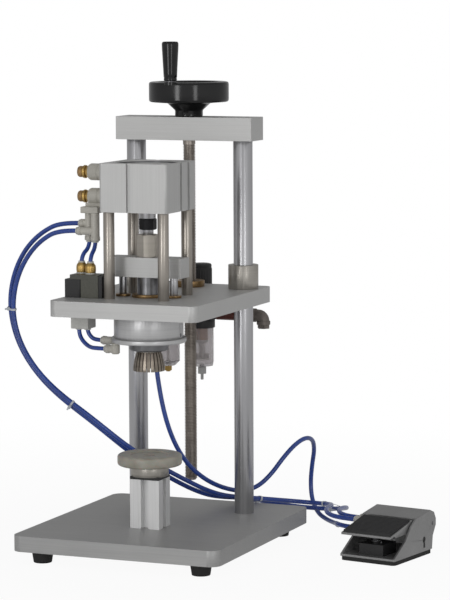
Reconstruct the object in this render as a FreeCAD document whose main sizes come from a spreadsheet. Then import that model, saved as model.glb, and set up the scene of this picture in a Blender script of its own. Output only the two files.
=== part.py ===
import FreeCAD, Part
import math
import os
import re
import Sketcher

# Pneumatic bench machine that crimps the collar of a spray pump onto a perfume bottle,
# with its foot pedal beside it. Millimetres, +Z up, +Y to the rear.
# The origin lies on the table, under the middle of the base plate.

doc = FreeCAD.newDocument("CrimpingMachine")

# Driving dimensions

SIZES = {
    "clearance": 0.2,
    "runningGap": 0.05,
    "baseWidth": 280, "baseDepth": 318, "baseThickness": 20, "baseCorner": 14,
    "footHeight": 16, "footDiameter": 28, "footTip": 23, "footAcross": 216, "footAlong": 266,
    "columnDiameter": 25, "columnSpacing": 150, "columnRow": 90,
    "columnScrew": 10, "screwGrip": 20, "capHeadHeight": 10, "capHeadDiameter": 16,
    "beamLevel": 521, "beamWidth": 190, "beamDepth": 42, "beamThickness": 30,
    "beamBushDiameter": 22, "journalDiameter": 14,
    "screwDiameter": 16, "screwReach": 446,
    "wheelDiameter": 108, "wheelHubDiameter": 36, "wheelHubHeight": 8, "wheelConeDiameter": 56,
    "wheelRimLevel": 19, "wheelRimHeight": 26, "wheelRimWall": 15,
    "handleRadius": 45.5, "handleAngle": 262, "handleHeight": 50, "handleTop": 23, "handleFoot": 18,
    "spindleDiameter": 8,
    "pressRow": -43,
    "platformLevel": 310, "platformThickness": 20, "platformWidth": 200, "platformDepth": 255,
    "platformCorner": 10,
    "columnBushDiameter": 39, "columnBushHeight": 31, "columnBushSpigot": 32,
    "nutFlange": 38, "nutFlangeHeight": 8, "nutSpigot": 26, "nutLength": 26,
    "pillarPitch": 74, "pillarDiameter": 14, "pillarLength": 109, "pillarScrew": 8,
    "pillarHeadDiameter": 13, "pillarHeadHeight": 8, "pillarGrip": 16,
    "cylinderSide": 92, "cylinderHeight": 61, "cylinderBore": 80, "cylinderFloor": 10,
    "slotWidth": 6, "slotDepth": 3.5, "slotOffset": 6, "sideSlotPitch": 24,
    "capThickness": 12, "capRecess": 3,
    "pistonThickness": 14, "pistonLevel": 466, "rodDiameter": 20, "rodTail": 14, "guideDiameter": 34,
    "nutLevel": 415, "nutHeight": 14.4, "nutAcross": 21.6,
    "couplerLevel": 380.5, "couplerHeight": 28.5, "couplerAcross": 24,
    "crossbarLength": 100, "crossbarDepth": 28, "crossbarHeight": 25, "spigotDiameter": 10,
    "guideRodPitch": 70, "guideRodDiameter": 10, "guideRodLength": 46,
    "stemDiameter": 28, "stemBushFlange": 42, "stemBushSpigot": 36, "bushFlangeHeight": 4,
    "headDiameter": 88, "headWall": 12, "headHeight": 30.5, "ringDiameter": 95, "ringHeight": 6.5,
    "sleeveDiameter": 50, "sleeveLevel": 262.5, "sleeveHeight": 47, "sleeveBore": 34, "sleeveRoof": 10,
    "colletLevel": 236.5, "fingerLength": 24.5, "colletHeight": 50.7, "colletShank": 31,
    "colletMouth": 40.6, "fingerWall": 4.5, "fingerSlit": 1.4, "fingerCount": 24,
    "pinDiameter": 5, "pinLevel": 283.3, "crimpStroke": 12,
    "postWidth": 40, "postDepth": 35, "postHeight": 63, "postSlot": 10, "postSlotDepth": 9,
    "postScrew": 6, "postScrewPitch": 22, "capPlateHeight": 3.5,
    "hubDiameter": 48, "hubHeight": 13.5, "discDiameter": 82, "discHeight": 14, "discRecess": 50,
    "discRecessDepth": 2,
    "silencerRow": 486, "lowerPortRow": 455, "portDiameter": 12, "silencerDiameter": 16,
    "silencerReach": 53, "silencerLength": 16.5, "fittingDiameter": 21.5, "fittingLength": 22.5,
    "valveLeft": -98, "valveRight": -46, "valveFront": -84, "valveBack": -58, "valveHeight": 29,
    "valveCapLength": 23, "valveCapHeight": 23, "valveEndLength": 5,
    "hoseFittingDiameter": 13, "hoseFittingHeight": 14,
    "teeBoss": 12, "teeArm": 11, "hoseDiameter": 6, "linkHose": 4,
    "manifoldSide": 24, "manifoldHeight": 21,
    "bracketThickness": 2, "regulatorAt": -9, "unitPitch": 49, "unitWidth": 44, "unitDepth": 40,
    "unitLevel": 281, "unitHeight": 37, "collarDiameter": 35, "collarHeight": 12,
    "bowlDiameter": 31, "bowlWall": 2, "bowlLength": 51, "filterDiameter": 16, "filterLength": 40,
    "knobDiameter": 28, "knobHeight": 32, "knobStem": 8, "drainDiameter": 11, "drainHeight": 9, "drainTravel": 2,
    "nippleDiameter": 16, "inletLevel": 288, "inletAt": 79, "inletDiameter": 18, "inletNutHeight": 8,
    "pedalAt": 286, "pedalFront": 13, "pedalWidth": 78, "pedalLength": 109, "pedalHeight": 56,
    "pedalWall": 3, "pedalTurn": 10, "pedalPivot": 77, "padThickness": 5, "padLength": 99,
    "cheekLowAt": 29, "cheekLow": 26, "cheekHighAt": 45, "cheekHigh": 43,
    "hoodAt": 58, "hoodFront": 50.5, "hoodBackAt": 94, "hoodEndAt": 104, "hoodEnd": 52,
    "heelTop": 43, "heelLow": 35, "heelStepAt": 101, "heelStep": 22,
    "keyholeAt": 78, "keyholeLevel": 20, "keyholeDiameter": 8, "keySlotWidth": 4, "keySlotDepth": 10,
    "treadleGap": 0.75, "treadleLength": 58, "treadleSheet": 3,
    "treadleFrontAt": -4, "treadleFront": 33.5, "treadleBack": 45.8, "padSheet": 2.5, "plungerTop": 37.5,
    "hingeAt": 100, "hingeLevel": 38, "hingePin": 4.5, "plungerAt": 24, "plungerDiameter": 10,
    "plungerFoot": 19.5, "plungerFlange": 16, "plungerFlangeHeight": 2,
    "valveBlockAt": 10, "valveBlockSide": 34, "valveBlockHeight": 14, "valveBlockFloor": 2,
    "springDiameter": 15, "springBore": 11.5, "pedalPort": 8, "pedalFittingDiameter": 11,
    "pedalFittingLength": 9,
}

sheet = doc.addObject("Spreadsheet::Sheet", "Sizes")
for row, (alias, number) in enumerate(SIZES.items(), start=1):
    sheet.set("A%d" % row, alias)
    sheet.set("B%d" % row, str(number))
    sheet.setAlias("B%d" % row, alias)
doc.recompute()

# Levels and places that several pieces share, worked out from the sheet

BASE_TOP = "(footHeight + baseThickness)"
BEAM_TOP = "(beamLevel + beamThickness)"
PLATFORM_TOP = "(platformLevel + platformThickness)"
PLATFORM_FRONT = "(-(platformDepth) / 2 + 0.5)"
PLATFORM_BACK = "(platformDepth / 2 + 0.5)"
CYLINDER_LEVEL = "(platformLevel + platformThickness + pillarLength)"
CYLINDER_TOP = "(platformLevel + platformThickness + pillarLength + cylinderHeight)"
CROSSBAR_LEVEL = "(couplerLevel - crossbarHeight)"
HEAD_LEVEL = "(platformLevel - headHeight)"
RING_LEVEL = "(platformLevel - headHeight - ringHeight)"
POST_TOP = "(footHeight + baseThickness + postHeight)"
HUB_LEVEL = "(footHeight + baseThickness + postHeight + capPlateHeight)"
DISC_LEVEL = "(footHeight + baseThickness + postHeight + capPlateHeight + hubHeight)"
VALVE_TOP = "(platformLevel + platformThickness + valveHeight)"
UNIT_ROW = "(%s + bracketThickness + unitDepth / 2)" % PLATFORM_BACK
UNIT_BACK = "(%s + unitDepth / 2)" % UNIT_ROW
BOWL_LEVEL = "(unitLevel + 0 - collarHeight - bowlLength)"
LUBRICATOR_AT = "(regulatorAt - unitPitch)"


def worded(text):
    """Write an expression with the sheet's name before each alias."""
    swap = lambda found: "Sizes." + found.group(0) if found.group(0) in SIZES else found.group(0)
    return re.sub(r"[A-Za-z]+", swap, str(text))


def number(text):
    """Work out an expression on the sheet's values."""
    probe = doc.getObject("Probe") or doc.addObject("App::FeaturePython", "Probe")
    if "Value" not in probe.PropertiesList:
        probe.addProperty("App::PropertyFloat", "Value")
    probe.setExpression("Value", worded(text))
    probe.recompute()
    return probe.Value


def bind(thing, prop, text):
    thing.setExpression(prop, worded(text))


def put(thing, x, y, z, axis="Z"):
    """Place an object by expressions, its own Z turned along the named axis."""
    turns = {
        "Z": FreeCAD.Rotation(),
        "X": FreeCAD.Rotation(FreeCAD.Vector(0, 1, 0), 90),
        "-X": FreeCAD.Rotation(FreeCAD.Vector(0, 1, 0), -90),
        "Y": FreeCAD.Rotation(FreeCAD.Vector(1, 0, 0), -90),
        "-Z": FreeCAD.Rotation(FreeCAD.Vector(1, 0, 0), 180),
    }
    thing.Placement = FreeCAD.Placement(FreeCAD.Vector(), turns[axis])
    bind(thing, ".Placement.Base.x", x)
    bind(thing, ".Placement.Base.y", y)
    bind(thing, ".Placement.Base.z", z)
    return thing


def block(x, y, z, length, width, height):
    """A box from its low corner."""
    made = doc.addObject("Part::Box", "Block")
    bind(made, "Length", length)
    bind(made, "Width", width)
    bind(made, "Height", height)
    return put(made, x, y, z)


def rod(x, y, z, diameter, length, axis="Z"):
    made = doc.addObject("Part::Cylinder", "Rod")
    bind(made, "Radius", "(%s) / 2" % diameter)
    bind(made, "Height", length)
    return put(made, x, y, z, axis)


def taper(x, y, z, lower, upper, height):
    made = doc.addObject("Part::Cone", "Taper")
    bind(made, "Radius1", "(%s) / 2" % lower)
    bind(made, "Radius2", "(%s) / 2" % upper)
    bind(made, "Height", height)
    return put(made, x, y, z)


def hexagon(x, y, z, across, height, turn):
    """A hexagonal bar, its size given across the flats."""
    made = doc.addObject("Part::Prism", "Hexagon")
    made.Polygon = 6
    bind(made, "Circumradius", "(%s) / 2 / cos(30)" % across)
    bind(made, "Height", height)
    put(made, x, y, z)
    made.Placement.Rotation = FreeCAD.Rotation(FreeCAD.Vector(0, 0, 1), turn)
    return made


def joined(parts):
    if len(parts) == 1:
        return parts[0]
    made = doc.addObject("Part::MultiFuse", "Joined")
    made.Shapes = parts
    made.Refine = True
    return made


def together(parts):
    """Separate solids that share a node."""
    made = doc.addObject("Part::Compound", "Group")
    made.Links = parts
    return made


def cut(base, tools):
    made = doc.addObject("Part::Cut", "Cut")
    made.Base = base
    made.Tool = tools[0] if len(tools) == 1 else joined(tools)
    return made


def plane_of(body, role):
    for feature in body.Origin.OriginFeatures:
        if feature.Role == role:
            return feature


def fix_point(sketch, index, corner, x, y):
    """Tie one end of a sketch line, or a circle's centre, to the sketch's origin."""
    for kind, text in (("DistanceX", x), ("DistanceY", y)):
        value = number(text)
        if abs(value) < 1e-9:
            axis = -2 if kind == "DistanceX" else -1
            sketch.addConstraint(Sketcher.Constraint("PointOnObject", index, corner, axis))
        else:
            place = sketch.addConstraint(Sketcher.Constraint(kind, -1, 1, index, corner, value))
            sketch.setExpression("Constraints[%d]" % place, worded(text))


def outline(body, name, role, points):
    """A closed sketch of straight lines through points given by expressions."""
    sketch = body.newObject("Sketcher::SketchObject", name)
    sketch.AttachmentSupport = [(plane_of(body, role), "")]
    sketch.MapMode = "FlatFace"
    spots = [FreeCAD.Vector(number(x), number(y), 0) for x, y in points]
    count = len(spots)
    for step in range(count):
        sketch.addGeometry(Part.LineSegment(spots[step], spots[(step + 1) % count]), False)
    for step in range(count):
        sketch.addConstraint(Sketcher.Constraint("Coincident", step, 2, (step + 1) % count, 1))
    for step, (x, y) in enumerate(points):
        fix_point(sketch, step, 1, x, y)
    return sketch


def turned(label, points, x="0", y="0", z="0"):
    """A body of revolution about its own upright axis, from radius and height pairs."""
    body = doc.addObject("PartDesign::Body", label)
    sketch = outline(body, label + "Profile", "XZ_Plane", points)
    turn = body.newObject("PartDesign::Revolution", label + "Turn")
    turn.Profile = sketch
    turn.ReferenceAxis = (sketch, ["V_Axis"])
    turn.Angle = 360
    return put(body, x, y, z)


def extruded(label, role, points, length, x="0", y="0", z="0"):
    """A body pushed out both ways from a sketch."""
    body = doc.addObject("PartDesign::Body", label)
    sketch = outline(body, label + "Profile", role, points)
    pad = body.newObject("PartDesign::Pad", label + "Pad")
    pad.Profile = sketch
    bind(pad, "Length", length)
    pad.Midplane = True
    return put(body, x, y, z)


def rounded_plate(label, width, depth, thickness, corner, x, y, z):
    """A plate with rounded corners, padded up from a sketch of lines and arcs."""
    body = doc.addObject("PartDesign::Body", label)
    sketch = body.newObject("Sketcher::SketchObject", label + "Outline")
    sketch.AttachmentSupport = [(plane_of(body, "XY_Plane"), "")]
    sketch.MapMode = "FlatFace"
    w, d, r = number(width) / 2, number(depth) / 2, number(corner)
    lines = [((-w + r, -d), (w - r, -d)), ((w, -d + r), (w, d - r)),
             ((w - r, d), (-w + r, d)), ((-w, d - r), (-w, -d + r))]
    centres = [(w - r, -d + r, -90), (w - r, d - r, 0), (-w + r, d - r, 90), (-w + r, -d + r, 180)]
    for start, end in lines:
        sketch.addGeometry(Part.LineSegment(FreeCAD.Vector(*start, 0), FreeCAD.Vector(*end, 0)), False)
    for cx, cy, first in centres:
        circle = Part.Circle(FreeCAD.Vector(cx, cy, 0), FreeCAD.Vector(0, 0, 1), r)
        arc = Part.ArcOfCircle(circle, math.radians(first), math.radians(first + 90))
        sketch.addGeometry(arc, False)
    for side in range(4):
        sketch.addConstraint(Sketcher.Constraint("Tangent", side, 2, 4 + side, 1))
        sketch.addConstraint(Sketcher.Constraint("Tangent", 4 + side, 2, (side + 1) % 4, 1))
    for side in (0, 2):
        sketch.addConstraint(Sketcher.Constraint("Horizontal", side))
    for side in (1, 3):
        sketch.addConstraint(Sketcher.Constraint("Vertical", side))
    for arc in (5, 6, 7):
        sketch.addConstraint(Sketcher.Constraint("Equal", 4, arc))
    place = sketch.addConstraint(Sketcher.Constraint("Radius", 4, r))
    sketch.setExpression("Constraints[%d]" % place, worded(corner))
    for kind, line, text in (("DistanceX", 1, "(%s) / 2" % width), ("DistanceX", 3, "-(%s) / 2" % width),
                             ("DistanceY", 2, "(%s) / 2" % depth), ("DistanceY", 0, "-(%s) / 2" % depth)):
        place = sketch.addConstraint(Sketcher.Constraint(kind, -1, 1, line, 1, number(text)))
        sketch.setExpression("Constraints[%d]" % place, worded(text))
    pad = body.newObject("PartDesign::Pad", label + "Pad")
    pad.Profile = sketch
    bind(pad, "Length", thickness)
    return put(body, x, y, z)


PARTS = {}


def piece(node, thing):
    thing.Label = node
    PARTS[node] = thing
    return thing


def both(text):
    """The expression and its negative, for mirrored pairs."""
    return ("(%s)" % text, "(-(%s))" % text)


def four(across, along):
    """The corners of a rectangle about the origin."""
    return [(x, y) for x in both("(%s) / 2" % across) for y in both("(%s) / 2" % along)]


PILLARS = [(x, "(pressRow + %s)" % y) for x, y in four("pillarPitch", "pillarPitch")]
COLUMNS = [(x, "columnRow") for x in both("columnSpacing / 2")]
FEET = four("footAcross", "footAlong")
POST_SCREWS = [("-(postScrewPitch) / 2", "pressRow - 10"), ("postScrewPitch / 2", "pressRow + 10")]
GUIDES = [(x, "pressRow") for x in both("guideRodPitch / 2")]


# Base, feet, columns and top beam

def base_plate():
    plate = rounded_plate("BasePlate", "baseWidth", "baseDepth", "baseThickness", "baseCorner",
                          "0", "0", "footHeight")
    holes = []
    for x, y in COLUMNS:
        holes.append(rod(x, y, "footHeight", "columnScrew + 1", "baseThickness"))
        holes.append(rod(x, y, "footHeight", "capHeadDiameter + 2", "capHeadHeight + 1"))
    for x, y in FEET:
        holes.append(rod(x, y, "footHeight", "postScrew + clearance", "footHeight - 4"))
    for x, y in POST_SCREWS:
        holes.append(rod(x, y, "footHeight", "postScrew + 1", "baseThickness"))
        holes.append(rod(x, y, "footHeight", "postScrew * 2", "postScrew + 1"))
    piece("base_plate", cut(plate, holes))


def rubber_feet():
    feet = []
    for x, y in FEET:
        cone = taper(x, y, "0", "footTip", "footDiameter", "footHeight")
        bore = rod(x, y, "0", "postScrew + clearance", "footHeight")
        recess = rod(x, y, "0", "postScrew * 2 + 1", "footHeight / 2")
        feet.append(cut(cone, [bore, recess]))
    piece("rubber_feet", together(feet))


def cap_screw(x, y, seat, screw, head, head_height, length, axis="Z"):
    """A socket head cap screw with its head's underside at the seat."""
    down = axis == "-Z"
    shank = rod(x, y, seat, screw, length, axis)
    if down:
        cap = rod(x, y, seat, head, head_height)
        socket = rod(x, y, "%s + %s / 2" % (seat, head_height), "%s * 0.5" % head, "%s / 2" % head_height)
    else:
        cap = rod(x, y, "%s - %s" % (seat, head_height), head, head_height)
        socket = rod(x, y, "%s - %s" % (seat, head_height), "%s * 0.5" % head, "%s / 2" % head_height)
    return cut(joined([shank, cap]), [socket])


def frame_screws():
    screws = []
    for x, y in COLUMNS:
        screws.append(cap_screw(x, y, "footHeight + capHeadHeight + 1", "columnScrew", "capHeadDiameter",
                                "capHeadHeight", "baseThickness - capHeadHeight - 1 + screwGrip"))
        screws.append(cap_screw(x, y, "beamLevel + beamThickness - capHeadHeight - 1", "columnScrew",
                                "capHeadDiameter", "capHeadHeight",
                                "beamThickness - capHeadHeight - 1 + screwGrip", "-Z"))
    for x, y in FEET:
        screws.append(cap_screw(x, y, "footHeight / 2", "postScrew", "postScrew * 2", "postScrew / 2",
                                "footHeight / 2 + footHeight - 5"))
    for x, y in POST_SCREWS:
        screws.append(cap_screw(x, y, "footHeight + postScrew + 1", "postScrew", "postScrew * 1.8",
                                "postScrew", "baseThickness - postScrew - 1 + screwGrip"))
    seat = "%s + 6" % DISC_LEVEL
    screws.append(cap_screw("0", "pressRow", seat, "postScrew", "postScrew * 2", "4",
                            "6 + hubHeight + capPlateHeight + screwGrip", "-Z"))
    piece("frame_screws", together(screws))


def guide_columns():
    columns = []
    for x, y in COLUMNS:
        bar = rod(x, y, BASE_TOP, "columnDiameter", "beamLevel - %s" % BASE_TOP)
        low = rod(x, y, BASE_TOP, "columnScrew + clearance", "screwGrip + 2")
        high = rod(x, y, "beamLevel - screwGrip - 2", "columnScrew + clearance", "screwGrip + 2")
        columns.append(cut(bar, [low, high]))
    piece("guide_columns", together(columns))


def top_beam():
    bar = block("-(beamWidth) / 2", "columnRow - beamDepth / 2", "beamLevel",
                "beamWidth", "beamDepth", "beamThickness")
    holes = [rod("0", "columnRow", "beamLevel", "beamBushDiameter", "beamThickness")]
    for x, y in COLUMNS:
        holes.append(rod(x, y, "beamLevel", "columnScrew + 1", "beamThickness"))
        holes.append(rod(x, y, BEAM_TOP, "capHeadDiameter + 2", "capHeadHeight + 1", "-Z"))
    piece("top_beam", cut(bar, holes))


def beam_bush():
    ring = rod("0", "columnRow", "beamLevel", "beamBushDiameter", "beamThickness")
    bore = rod("0", "columnRow", "beamLevel", "journalDiameter + 2 * runningGap", "beamThickness")
    piece("beam_bush", cut(ring, [bore]))


# Bottle rest

def bottle_post():
    bar = block("-(postWidth) / 2", "pressRow - postDepth / 2", BASE_TOP,
                "postWidth", "postDepth", "postHeight")
    tools = [rod(x, y, BASE_TOP, "postScrew + clearance", "postHeight") for x, y in POST_SCREWS]
    tools.append(rod("0", "pressRow", BASE_TOP, "postScrew + clearance", "postHeight"))
    deep = "postSlotDepth"
    for side in both("(postWidth - postSlotDepth) / 2"):
        tools.append(block("%s - postSlotDepth / 2" % side, "pressRow - postSlot / 2", BASE_TOP,
                           deep, "postSlot", "postHeight"))
    for side in both("(postDepth - postSlotDepth) / 2"):
        tools.append(block("-(postSlot) / 2", "pressRow + %s - postSlotDepth / 2" % side, BASE_TOP,
                           "postSlot", deep, "postHeight"))
    piece("bottle_post", cut(bar, tools))


def post_cap():
    lid = block("-(postWidth) / 2", "pressRow - postDepth / 2", POST_TOP,
                "postWidth", "postDepth", "capPlateHeight")
    bore = rod("0", "pressRow", POST_TOP, "postScrew + clearance", "capPlateHeight")
    piece("post_cap", cut(lid, [bore]))


def plate_hub():
    piece("plate_hub", turned("PlateHub", [
        ("postScrew / 2 + clearance", "0"), ("hubDiameter / 2", "0"), ("hubDiameter / 2", "hubHeight"),
        ("postScrew / 2 + clearance", "hubHeight")], "0", "pressRow", HUB_LEVEL))


def bottle_plate():
    edge = "discDiameter / 2"
    piece("bottle_plate", turned("BottlePlate", [
        ("postScrew / 2 + clearance", "0"), (edge + " - 3", "0"), (edge + " - 0.9", "0.9"), (edge, "3"),
        (edge, "discHeight - 3"), (edge + " - 0.9", "discHeight - 0.9"), (edge + " - 3", "discHeight"),
        ("discRecess / 2", "discHeight"), ("discRecess / 2 - 1", "discHeight - discRecessDepth"),
        ("postScrew + 1", "discHeight - discRecessDepth"), ("postScrew + 1", "6"),
        ("postScrew / 2 + clearance", "6")], "0", "pressRow", DISC_LEVEL))


# Lead screw and handwheel

def lead_screw():
    low = "beamLevel - screwReach"
    radius = "screwDiameter / 2"
    thin = "journalDiameter / 2"
    piece("lead_screw", turned("LeadScrew", [
        ("0", "0"), (radius + " - 3", "0"), (radius, "3"), (radius, "screwReach - 0.3"),
        (thin, "screwReach - 0.3"), (thin, "screwReach + beamThickness + wheelRimLevel + 9"),
        (thin + " - 1", "screwReach + beamThickness + wheelRimLevel + 10"),
        ("0", "screwReach + beamThickness + wheelRimLevel + 10")], "0", "columnRow", low))


def handwheel():
    rim = "wheelDiameter / 2"
    inner = "(wheelDiameter / 2 - wheelRimWall)"
    hub = "wheelHubDiameter / 2"
    bore = "(journalDiameter / 2)"
    top = "(wheelRimLevel + wheelRimHeight)"
    wheel = turned("Handwheel", [
        (bore, "0.3"), (hub, "0.3"), (hub, "wheelHubHeight"),
        ("wheelConeDiameter / 2", "wheelRimLevel - 2"), (rim + " - 4", "wheelRimLevel"),
        (rim + " - 1", "wheelRimLevel + 1.5"), (rim, "wheelRimLevel + 5"), (rim, top + " - 5"),
        (rim + " - 1.2", top + " - 1.5"), (rim + " - 4", top), (inner + " + 2", top), (inner, top + " - 2"),
        (inner + " - 5", "wheelRimLevel + 9"), ("wheelHubDiameter / 2", "wheelRimLevel + 6"),
        ("wheelHubDiameter / 2 - 4", "wheelRimLevel + 11"), (bore, "wheelRimLevel + 11")],
        "0", "columnRow", BEAM_TOP)
    hole = rod(*HANDLE, "%s + wheelRimLevel + wheelRimHeight - 18" % BEAM_TOP, "spindleDiameter", "20")
    piece("handwheel", cut(wheel, [hole]))


HANDLE = ("(handleRadius * cos(handleAngle))", "(columnRow + handleRadius * sin(handleAngle))")
RIM_TOP = "(beamLevel + beamThickness + wheelRimLevel + wheelRimHeight)"


def handle_spindle():
    pin = rod(*HANDLE, RIM_TOP + " - 18", "spindleDiameter", "18 + handleHeight - 2")
    collar = rod(*HANDLE, RIM_TOP, "spindleDiameter + 5", "2")
    head = rod(*HANDLE, RIM_TOP + " + handleHeight - 2", "spindleDiameter + 4", "3")
    piece("handle_spindle", joined([pin, collar, head]))


def revolving_handle():
    foot = "handleFoot / 2"
    top = "handleTop / 2"
    bore = "(spindleDiameter / 2 + 2 * runningGap)"
    piece("revolving_handle", turned("RevolvingHandle", [
        (bore, "0"), (foot + " - 1", "0"), (foot, "1.5"), (foot + " + 0.3", "handleHeight * 0.3"),
        (top + " - 0.6", "handleHeight * 0.68"), (top, "handleHeight * 0.82"),
        (top + " - 0.8", "handleHeight * 0.91"), (top + " - 3", "handleHeight - 1"),
        ("spindleDiameter / 2 + 2.8", "handleHeight"), ("spindleDiameter / 2 + 2.4", "handleHeight - 4.4"),
        (bore, "handleHeight - 4.4")], HANDLE[0], HANDLE[1], RIM_TOP + " + 2.3"))


# Platform with its bushes and nut

def platform_plate():
    plate = rounded_plate("PlatformPlate", "platformWidth", "platformDepth", "platformThickness",
                          "platformCorner", "0", "0.5", "platformLevel")
    holes = [rod(x, y, "platformLevel", "columnBushSpigot", "platformThickness") for x, y in COLUMNS]
    holes.append(rod("0", "columnRow", "platformLevel", "nutSpigot", "platformThickness"))
    holes.append(rod("0", "pressRow", "platformLevel", "stemBushSpigot", "platformThickness"))
    for x, y in GUIDES:
        holes.append(rod(x, y, "platformLevel", "guideRodDiameter + 5", "platformThickness"))
    for x, y in PILLARS:
        holes.append(rod(x, y, "platformLevel", "pillarScrew + 0.4", "platformThickness"))
        holes.append(rod(x, y, "platformLevel", "pillarHeadDiameter + 1", "pillarHeadHeight + 1"))
    piece("platform_plate", cut(plate, holes))


def flanged_bush(x, y, low, spigot, spigot_length, flange, flange_height, bore):
    """A bush pressed in from above, its flange on the plate."""
    body = joined([rod(x, y, low, spigot, spigot_length),
                   rod(x, y, "%s + %s" % (low, spigot_length), flange, flange_height)])
    hole = rod(x, y, low, bore, "%s + %s" % (spigot_length, flange_height))
    return cut(body, [hole])


def column_bushes():
    bushes = [flanged_bush(x, y, "platformLevel", "columnBushSpigot", "platformThickness",
                           "columnBushDiameter", "columnBushHeight", "columnDiameter + 2 * runningGap")
              for x, y in COLUMNS]
    piece("column_bushes", together(bushes))


def lead_nut():
    low = "%s - nutLength + nutFlangeHeight" % PLATFORM_TOP
    piece("lead_nut", flanged_bush("0", "columnRow", low, "nutSpigot", "nutLength - nutFlangeHeight",
                                   "nutFlange", "nutFlangeHeight", "screwDiameter + 2 * runningGap"))


def platform_bushes():
    bushes = [flanged_bush("0", "pressRow", "platformLevel", "stemBushSpigot", "platformThickness",
                           "stemBushFlange", "bushFlangeHeight", "stemDiameter + 2 * runningGap")]
    for x, y in GUIDES:
        bushes.append(flanged_bush(x, y, "platformLevel", "guideRodDiameter + 5", "platformThickness",
                                   "guideRodDiameter + 9", "3", "guideRodDiameter + 2 * runningGap"))
    piece("platform_bushes", together(bushes))


# Air cylinder on four pillars

def cylinder_pillars():
    pillars = []
    for x, y in PILLARS:
        bar = rod(x, y, PLATFORM_TOP, "pillarDiameter", "pillarLength")
        low = rod(x, y, PLATFORM_TOP, "pillarScrew + clearance", "pillarGrip + 2")
        high = rod(x, y, "%s - pillarGrip - 2" % CYLINDER_LEVEL, "pillarScrew + clearance", "pillarGrip + 2")
        pillars.append(cut(bar, [low, high]))
    piece("cylinder_pillars", together(pillars))


def cylinder_screws():
    screws = []
    for x, y in PILLARS:
        screws.append(cap_screw(x, y, "platformLevel + pillarHeadHeight + 1", "pillarScrew",
                                "pillarHeadDiameter", "pillarHeadHeight",
                                "platformThickness - pillarHeadHeight - 1 + pillarGrip"))
        screws.append(cap_screw(x, y, "%s - pillarHeadHeight - 1" % CYLINDER_TOP, "pillarScrew",
                                "pillarHeadDiameter", "pillarHeadHeight",
                                "cylinderHeight - pillarHeadHeight - 1 + pillarGrip", "-Z"))
    piece("cylinder_screws", together(screws))


def cylinder_body():
    barrel = rounded_plate("CylinderBarrel", "cylinderSide", "cylinderSide", "cylinderHeight", "3",
                           "0", "pressRow", CYLINDER_LEVEL)
    tools = [rod("0", "pressRow", "%s + cylinderFloor" % CYLINDER_LEVEL, "cylinderBore",
                 "cylinderHeight - cylinderFloor"),
             rod("0", "pressRow", CYLINDER_LEVEL, "guideDiameter", "cylinderFloor")]
    for x, y in PILLARS:
        tools.append(rod(x, y, CYLINDER_LEVEL, "pillarScrew + 0.4", "cylinderHeight"))
        tools.append(rod(x, y, CYLINDER_TOP, "pillarHeadDiameter + 1", "pillarHeadHeight + 1", "-Z"))
    for level in ("silencerRow", "lowerPortRow"):
        tools.append(rod("-(cylinderSide) / 2", "pressRow", level, "portDiameter",
                         "(cylinderSide - cylinderBore) / 2 + 2", "X"))
    for side in both("(cylinderSide - slotDepth) / 2"):
        tools.append(block("-(slotOffset) - slotWidth / 2", "pressRow + %s - slotDepth / 2" % side,
                           CYLINDER_LEVEL, "slotWidth", "slotDepth", "cylinderHeight"))
    for step in ("0", "sideSlotPitch"):
        tools.append(block("cylinderSide / 2 - slotDepth", "pressRow - 1 + %s - slotWidth / 2" % step,
                           CYLINDER_LEVEL, "slotDepth", "slotWidth", "cylinderHeight"))
    piece("cylinder_body", cut(barrel, tools))


def cylinder_end_cap():
    radius = "cylinderBore / 2"
    piece("cylinder_end_cap", turned("EndCap", [
        ("0", "0"), (radius, "0"), (radius, "capThickness"), (radius + " - 4", "capThickness"),
        (radius + " - 6", "capThickness - 2"), ("0", "capThickness - 2")],
        "0", "pressRow", "%s - capRecess - capThickness" % CYLINDER_TOP))


def rod_guide():
    ring = rod("0", "pressRow", CYLINDER_LEVEL, "guideDiameter", "cylinderFloor")
    bore = rod("0", "pressRow", CYLINDER_LEVEL, "rodDiameter + 2 * runningGap", "cylinderFloor")
    piece("rod_guide", cut(ring, [bore]))


# Ram: piston, rod, coupler, crossbar, guide rods and the closing sleeve

def piston():
    disc = rod("0", "pressRow", "pistonLevel", "cylinderBore - 2 * runningGap", "pistonThickness")
    piece("piston", cut(disc, [rod("0", "pressRow", "pistonLevel", "rodTail", "pistonThickness")]))


def piston_rod():
    thick = rod("0", "pressRow", "nutLevel + nutHeight", "rodDiameter", "pistonLevel - nutLevel - nutHeight")
    tail = rod("0", "pressRow", "couplerLevel + couplerHeight / 2", "rodTail",
               "nutLevel + nutHeight - couplerLevel - couplerHeight / 2")
    spigot = rod("0", "pressRow", "pistonLevel", "rodTail", "pistonThickness")
    piece("piston_rod", joined([thick, tail, spigot]))


def lock_nut():
    nut = hexagon("0", "pressRow", "nutLevel", "nutAcross * 0.9", "nutHeight", 5)
    piece("lock_nut", cut(nut, [rod("0", "pressRow", "nutLevel", "rodTail + clearance", "nutHeight")]))


def rod_coupler():
    bar = hexagon("0", "pressRow", "couplerLevel", "couplerAcross", "couplerHeight", 5)
    bore = rod("0", "pressRow", "couplerLevel + couplerHeight / 2", "rodTail + clearance",
               "couplerHeight / 2")
    stud = rod("0", "pressRow", "couplerLevel - crossbarHeight / 2", "spigotDiameter", "crossbarHeight / 2 + 1")
    piece("rod_coupler", joined([cut(bar, [bore]), stud]))


def crossbar():
    bar = block("-(crossbarLength) / 2", "pressRow - crossbarDepth / 2", CROSSBAR_LEVEL,
                "crossbarLength", "crossbarDepth", "crossbarHeight")
    holes = [rod("0", "pressRow", CROSSBAR_LEVEL, "spigotDiameter + clearance", "crossbarHeight")]
    for x, y in GUIDES:
        holes.append(rod(x, y, CROSSBAR_LEVEL, "guideRodDiameter", "crossbarHeight * 0.6"))
    piece("crossbar", cut(bar, holes))


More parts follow.
